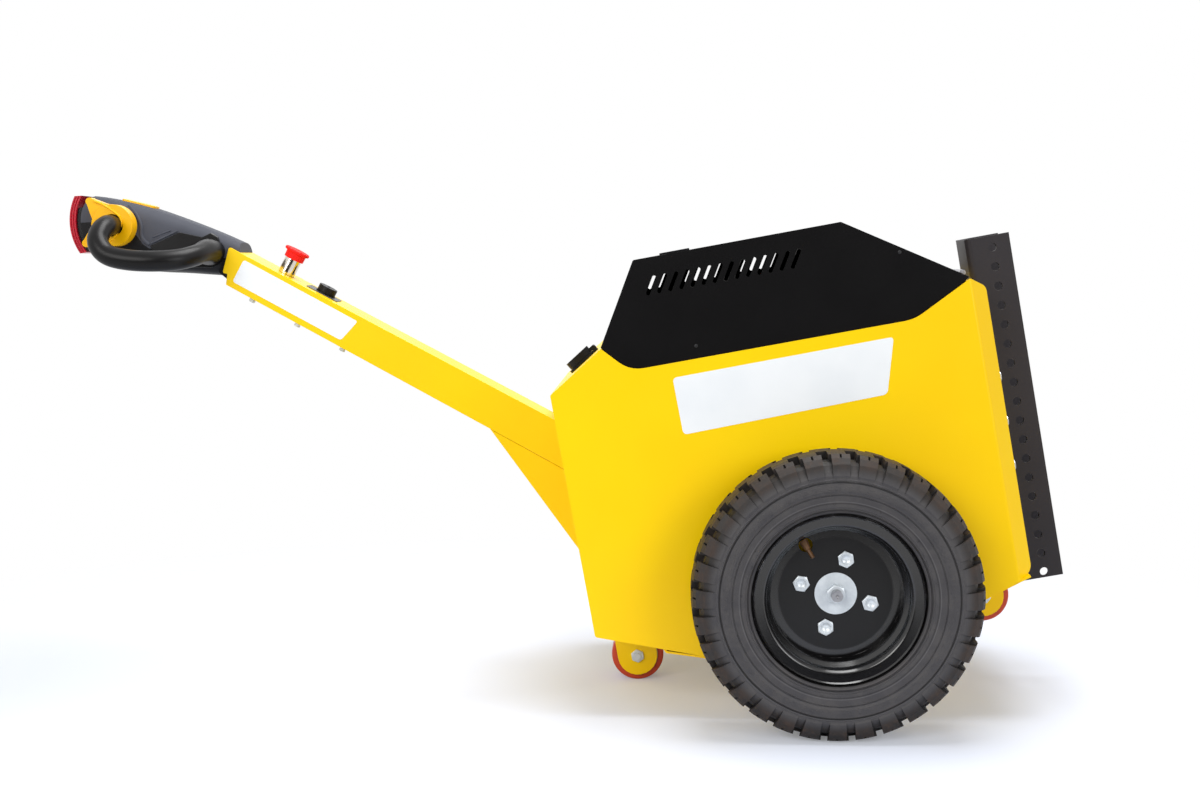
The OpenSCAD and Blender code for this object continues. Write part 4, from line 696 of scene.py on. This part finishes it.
frontBolts = {"y": 190.0, "z": (248.0, 183.0, 118.0), "ahead": 420.0, "flats": 0.013, "tall": 0.0075,
              "dish": 0.004, "sunk": 0.0002}
for hand, sign in hands:
    sheets = [nodes[name].data for name in ("side_panel_" + hand, "front_panel")]
    trees = [BVHTree.FromPolygons([v.co for v in s.vertices], [p.vertices for p in s.polygons]) for s in sheets]
    made = []
    for pz in frontBolts["z"]:  # each bolt sits on the foremost of the two sheets
        start = onBody(frontBolts["ahead"], sign * frontBolts["y"], pz)
        hits = [tree.ray_cast(start, -along)[0] for tree in trees]
        at = max((hit for hit in hits if hit), key=lambda hit: hit.x)
        head = hexHead(frontBolts["flats"], frontBolts["tall"], frontBolts["dish"])
        made.append(aim(head, at - along * frontBolts["sunk"], along))
    piece = joined(made, "front_bolts_" + hand)
    evenNormals(piece, zincEdges["smoothTo"])
    finishNew(piece, "zinc", "chassis")

coverScrews = {"flats": 0.0085, "tall": 0.0045, "dish": 0.0026, "shank": (0.0028, 0.01), "drop": 0.0012,
               "apart": 0.02}
screwPoints = [v.co for v in nodes["arm_cover_screws"].data.vertices]
ends = sorted(p.dot(armDown) for p in screwPoints)
groups = [[ends[0]]]
for value in ends[1:]:
    if value - groups[-1][-1] > coverScrews["apart"]:
        groups.append([])
    groups[-1].append(value)
made = []
for group in groups:
    row = [p for p in screwPoints if group[0] <= p.dot(armDown) <= group[-1]]
    low = min(p.dot(armUp) for p in row)
    at = armUp * (low - coverScrews["drop"]) + armDown * (group[0] + group[-1]) / 2.0
    head = hexHead(coverScrews["flats"], coverScrews["tall"], coverScrews["dish"], shank=coverScrews["shank"])
    made.append(aim(head, at, -armUp))
piece = joined(made, "cover_screw_heads")
evenNormals(piece, zincEdges["smoothTo"])
finishNew(piece, "zinc", "chassis")
print("head trim, front bolts and cover screws made")


def sticker(name, corners, thick, radius, coat, body):  # a thin plate with rounded corners, on four points
    bpy.ops.mesh.primitive_plane_add(size=1.0, location=(0, 0, 0))
    piece = bpy.context.object
    piece.name = name
    for i, corner in zip((0, 1, 3, 2), corners):  # a plane numbers its corners in rows
        piece.data.vertices[i].co = corner
    only(piece)
    bpy.ops.object.mode_set(mode="EDIT")
    bpy.ops.mesh.select_all(action="SELECT")
    bpy.ops.mesh.bevel(offset=radius, segments=6, affect="VERTICES")
    normal = (corners[1] - corners[0]).cross(corners[3] - corners[0]).normalized()
    thicken(normal * thick)
    finishNew(piece, coat, body)


labels = {  # corners in millimetres along the body and up, and y out to the side; radius in metres
    "side": {"corners": [(-171, 332), (-170, 249), (125, 255), (147, 334)], "y": 227.05, "radius": 0.006},
    "arm": {"corners": [(-795, 617), (-819, 587), (-670, 467), (-638, 491)], "y": 40.05, "radius": 0.004},
}
labelThick = 0.0003
for kind, row in labels.items():
    for hand, sign in hands:
        corners = onSide([(px, row["y"], pz) for px, pz in row["corners"]], sign)
        if sign > 0:  # so that it thickens outwards
            corners = [corners[0], corners[3], corners[2], corners[1]]
        sticker(kind + "_label_" + hand, corners, labelThick, row["radius"], "labelVinyl",
                "chassis")

legend = {"back": 0.029, "front": 0.025, "half": 0.021, "down": 0.005, "radius": 0.003, "thick": 0.0012}
keyAt = Vector(joints["key_turn"]["pos_m"]) - armUp * legend["down"]
back, front = keyAt - armDown * legend["back"], keyAt + armDown * legend["front"]
half = Vector((0.0, legend["half"], 0.0))
sticker("key_legend_plate", [back - half, front - half, front + half, back + half], legend["thick"],
        legend["radius"], "tinyLegend", "chassis")

dots = {"places": [(-130, 371), (175, 450)], "y": 223.6, "radius": 0.0026, "rise": 0.0012, "dome": 0.8}
for i, (px, pz) in enumerate(dots["places"]):
    for hand, sign in hands:
        bpy.ops.mesh.primitive_cylinder_add(vertices=24, radius=dots["radius"], depth=dots["rise"] * 2.0,
                                            location=onBody(px, sign * dots["y"], pz),
                                            rotation=(math.radians(90.0), 0.0, 0.0))
        piece = bpy.context.object
        piece.name = "lid_screw_%d_%s" % (i + 1, hand)
        only(piece)
        bpy.ops.object.transform_apply(location=True, rotation=True, scale=True)
        roundEdges(piece, dots["rise"] * dots["dome"], 3)
        shadeBy(piece, 40.0)
        finishNew(piece, "motorPaint", "lid")
print("labels and trim made")

studio = {
    "cameraAt": (0.14022, -2.3854, 0.66684), "yaw": -0.03784, "pitch": -0.09258, "roll": -0.00164,
    "lens": 45.477, "film": 36.0, "nearest": 0.05,
    "world": 0.4, "floor": rgb(216, 222, 236), "floorGlow": 0.19, "floorFade": (0.66, 1.25), "floorStretch": 0.8,
    "floorSize": 14.0, "cardAt": (0.3, -4.6, 1.6), "cardSize": (9.0, 4.4, 1.0), "card": rgb(34, 34, 36),
}
scene = bpy.context.scene
cameraData = bpy.data.cameras.new("camera")
cameraData.lens, cameraData.sensor_width, cameraData.clip_start = studio["lens"], studio["film"], studio["nearest"]
camera = bpy.data.objects.new("camera", cameraData)
scene.collection.objects.link(camera)
yaw, pitch, roll = studio["yaw"], studio["pitch"], studio["roll"]
ahead = Vector((math.sin(yaw) * math.cos(pitch), math.cos(yaw) * math.cos(pitch), math.sin(pitch)))
right = Vector((math.cos(yaw), -math.sin(yaw), 0.0))
up = right.cross(ahead)
right, up = right * math.cos(roll) + up * math.sin(roll), up * math.cos(roll) - right * math.sin(roll)
camera.matrix_world = Matrix.Translation(studio["cameraAt"]) @ Matrix((right, up, -ahead)).transposed().to_4x4()
scene.camera = camera

lamps = [  # name, place, aimed at, size, power, colour
    ("keyLamp", (-1.7, -3.4, 1.9), (0.0, 0.0, 0.35), (2.4, 1.8), 77.0, (1.0, 0.99, 0.97)),
    ("fillLamp", (2.6, -3.2, 1.5), (0.3, 0.0, 0.35), (1.8, 1.8), 48.0, (0.98, 0.99, 1.0)),
    ("topLamp", (0.35, 0.15, 2.9), (0.15, 0.1, 0.0), (2.0, 1.4), 74.0, (1.0, 1.0, 1.0)),
    ("rearLamp", (-1.2, 3.0, 2.0), (0.0, 0.0, 0.4), (2.4, 1.4), 8.0, (1.0, 1.0, 1.0)),
]
for name, place, target, size, power, colour in lamps:
    data = bpy.data.lights.new(name, "AREA")
    data.shape = "RECTANGLE"
    data.size, data.size_y = size
    data.energy = power
    data.color = colour
    lamp = bpy.data.objects.new(name, data)
    lamp.location = place
    lamp.rotation_euler = (Vector(target) - Vector(place)).to_track_quat("-Z", "Y").to_euler()
    scene.collection.objects.link(lamp)

world = bpy.data.worlds.new("studio")  # white to the camera and in reflections, dimmer as a light
scene.world = world
world.use_nodes = True
tree = world.node_tree
backdrop = tree.nodes["Background"]
backdrop.inputs["Color"].default_value = (1.0, 1.0, 1.0, 1.0)
path = tree.nodes.new("ShaderNodeLightPath")
seen = path.outputs["Is Camera Ray"]
for other in ("Is Glossy Ray", "Is Transmission Ray"):
    either = tree.nodes.new("ShaderNodeMath")
    either.operation = "MAXIMUM"
    tree.links.new(seen, either.inputs[0])
    tree.links.new(path.outputs[other], either.inputs[1])
    seen = either.outputs[0]
level = tree.nodes.new("ShaderNodeMapRange")
level.inputs["To Min"].default_value = studio["world"]
level.inputs["To Max"].default_value = 1.0
tree.links.new(seen, level.inputs["Value"])
tree.links.new(level.outputs[0], backdrop.inputs["Strength"])

bpy.ops.mesh.primitive_plane_add(size=studio["floorSize"], location=(0.0, 0.0, 0.0))
floor = bpy.context.object
floor.name = "floor"
bpy.ops.mesh.primitive_plane_add(size=1.0, location=studio["cardAt"], rotation=(math.radians(-90.0), 0.0, 0.0))
card = bpy.context.object  # a dark card behind the camera, so that black and bare metal keep their contrast
card.name = "dark_card"
card.scale = studio["cardSize"]
card.visible_camera = card.visible_diffuse = card.visible_shadow = False
felt = Coat("cardFelt", Base_Color=studio["card"], Roughness=1.0, Specular_IOR_Level=0.0)
card.data.materials.append(felt.material)
c = Coat("floorPaper", Base_Color=studio["floor"], Roughness=0.9, Specular_IOR_Level=0.2,
         Emission_Strength=studio["floorGlow"])
c.feed("Emission Color", c.mix(c.add("ShaderNodeLightPath", {}, {}, "Is Camera Ray"), (0.0, 0.0, 0.0, 1.0),
                               (1.0, 1.0, 1.0, 1.0)))
x, y, z = c.split()  # far from the tug the paper gives way to the white backdrop
reach = ((x * studio["floorStretch"]) ** 2.0 + y ** 2.0) ** 0.5
clear = c.add("ShaderNodeBsdfTransparent", {}, {})
paper = c.add("ShaderNodeMixShader", {}, {0: reach.between(*studio["floorFade"])})
c.tree.links.new(c.shader.outputs[0], paper.socket.node.inputs[1])
c.tree.links.new(clear.socket, paper.socket.node.inputs[2])
c.tree.links.new(paper.socket, c.tree.nodes["Material Output"].inputs["Surface"])
floor.data.materials.append(c.material)

scene.view_settings.view_transform = "Standard"
print("studio set")
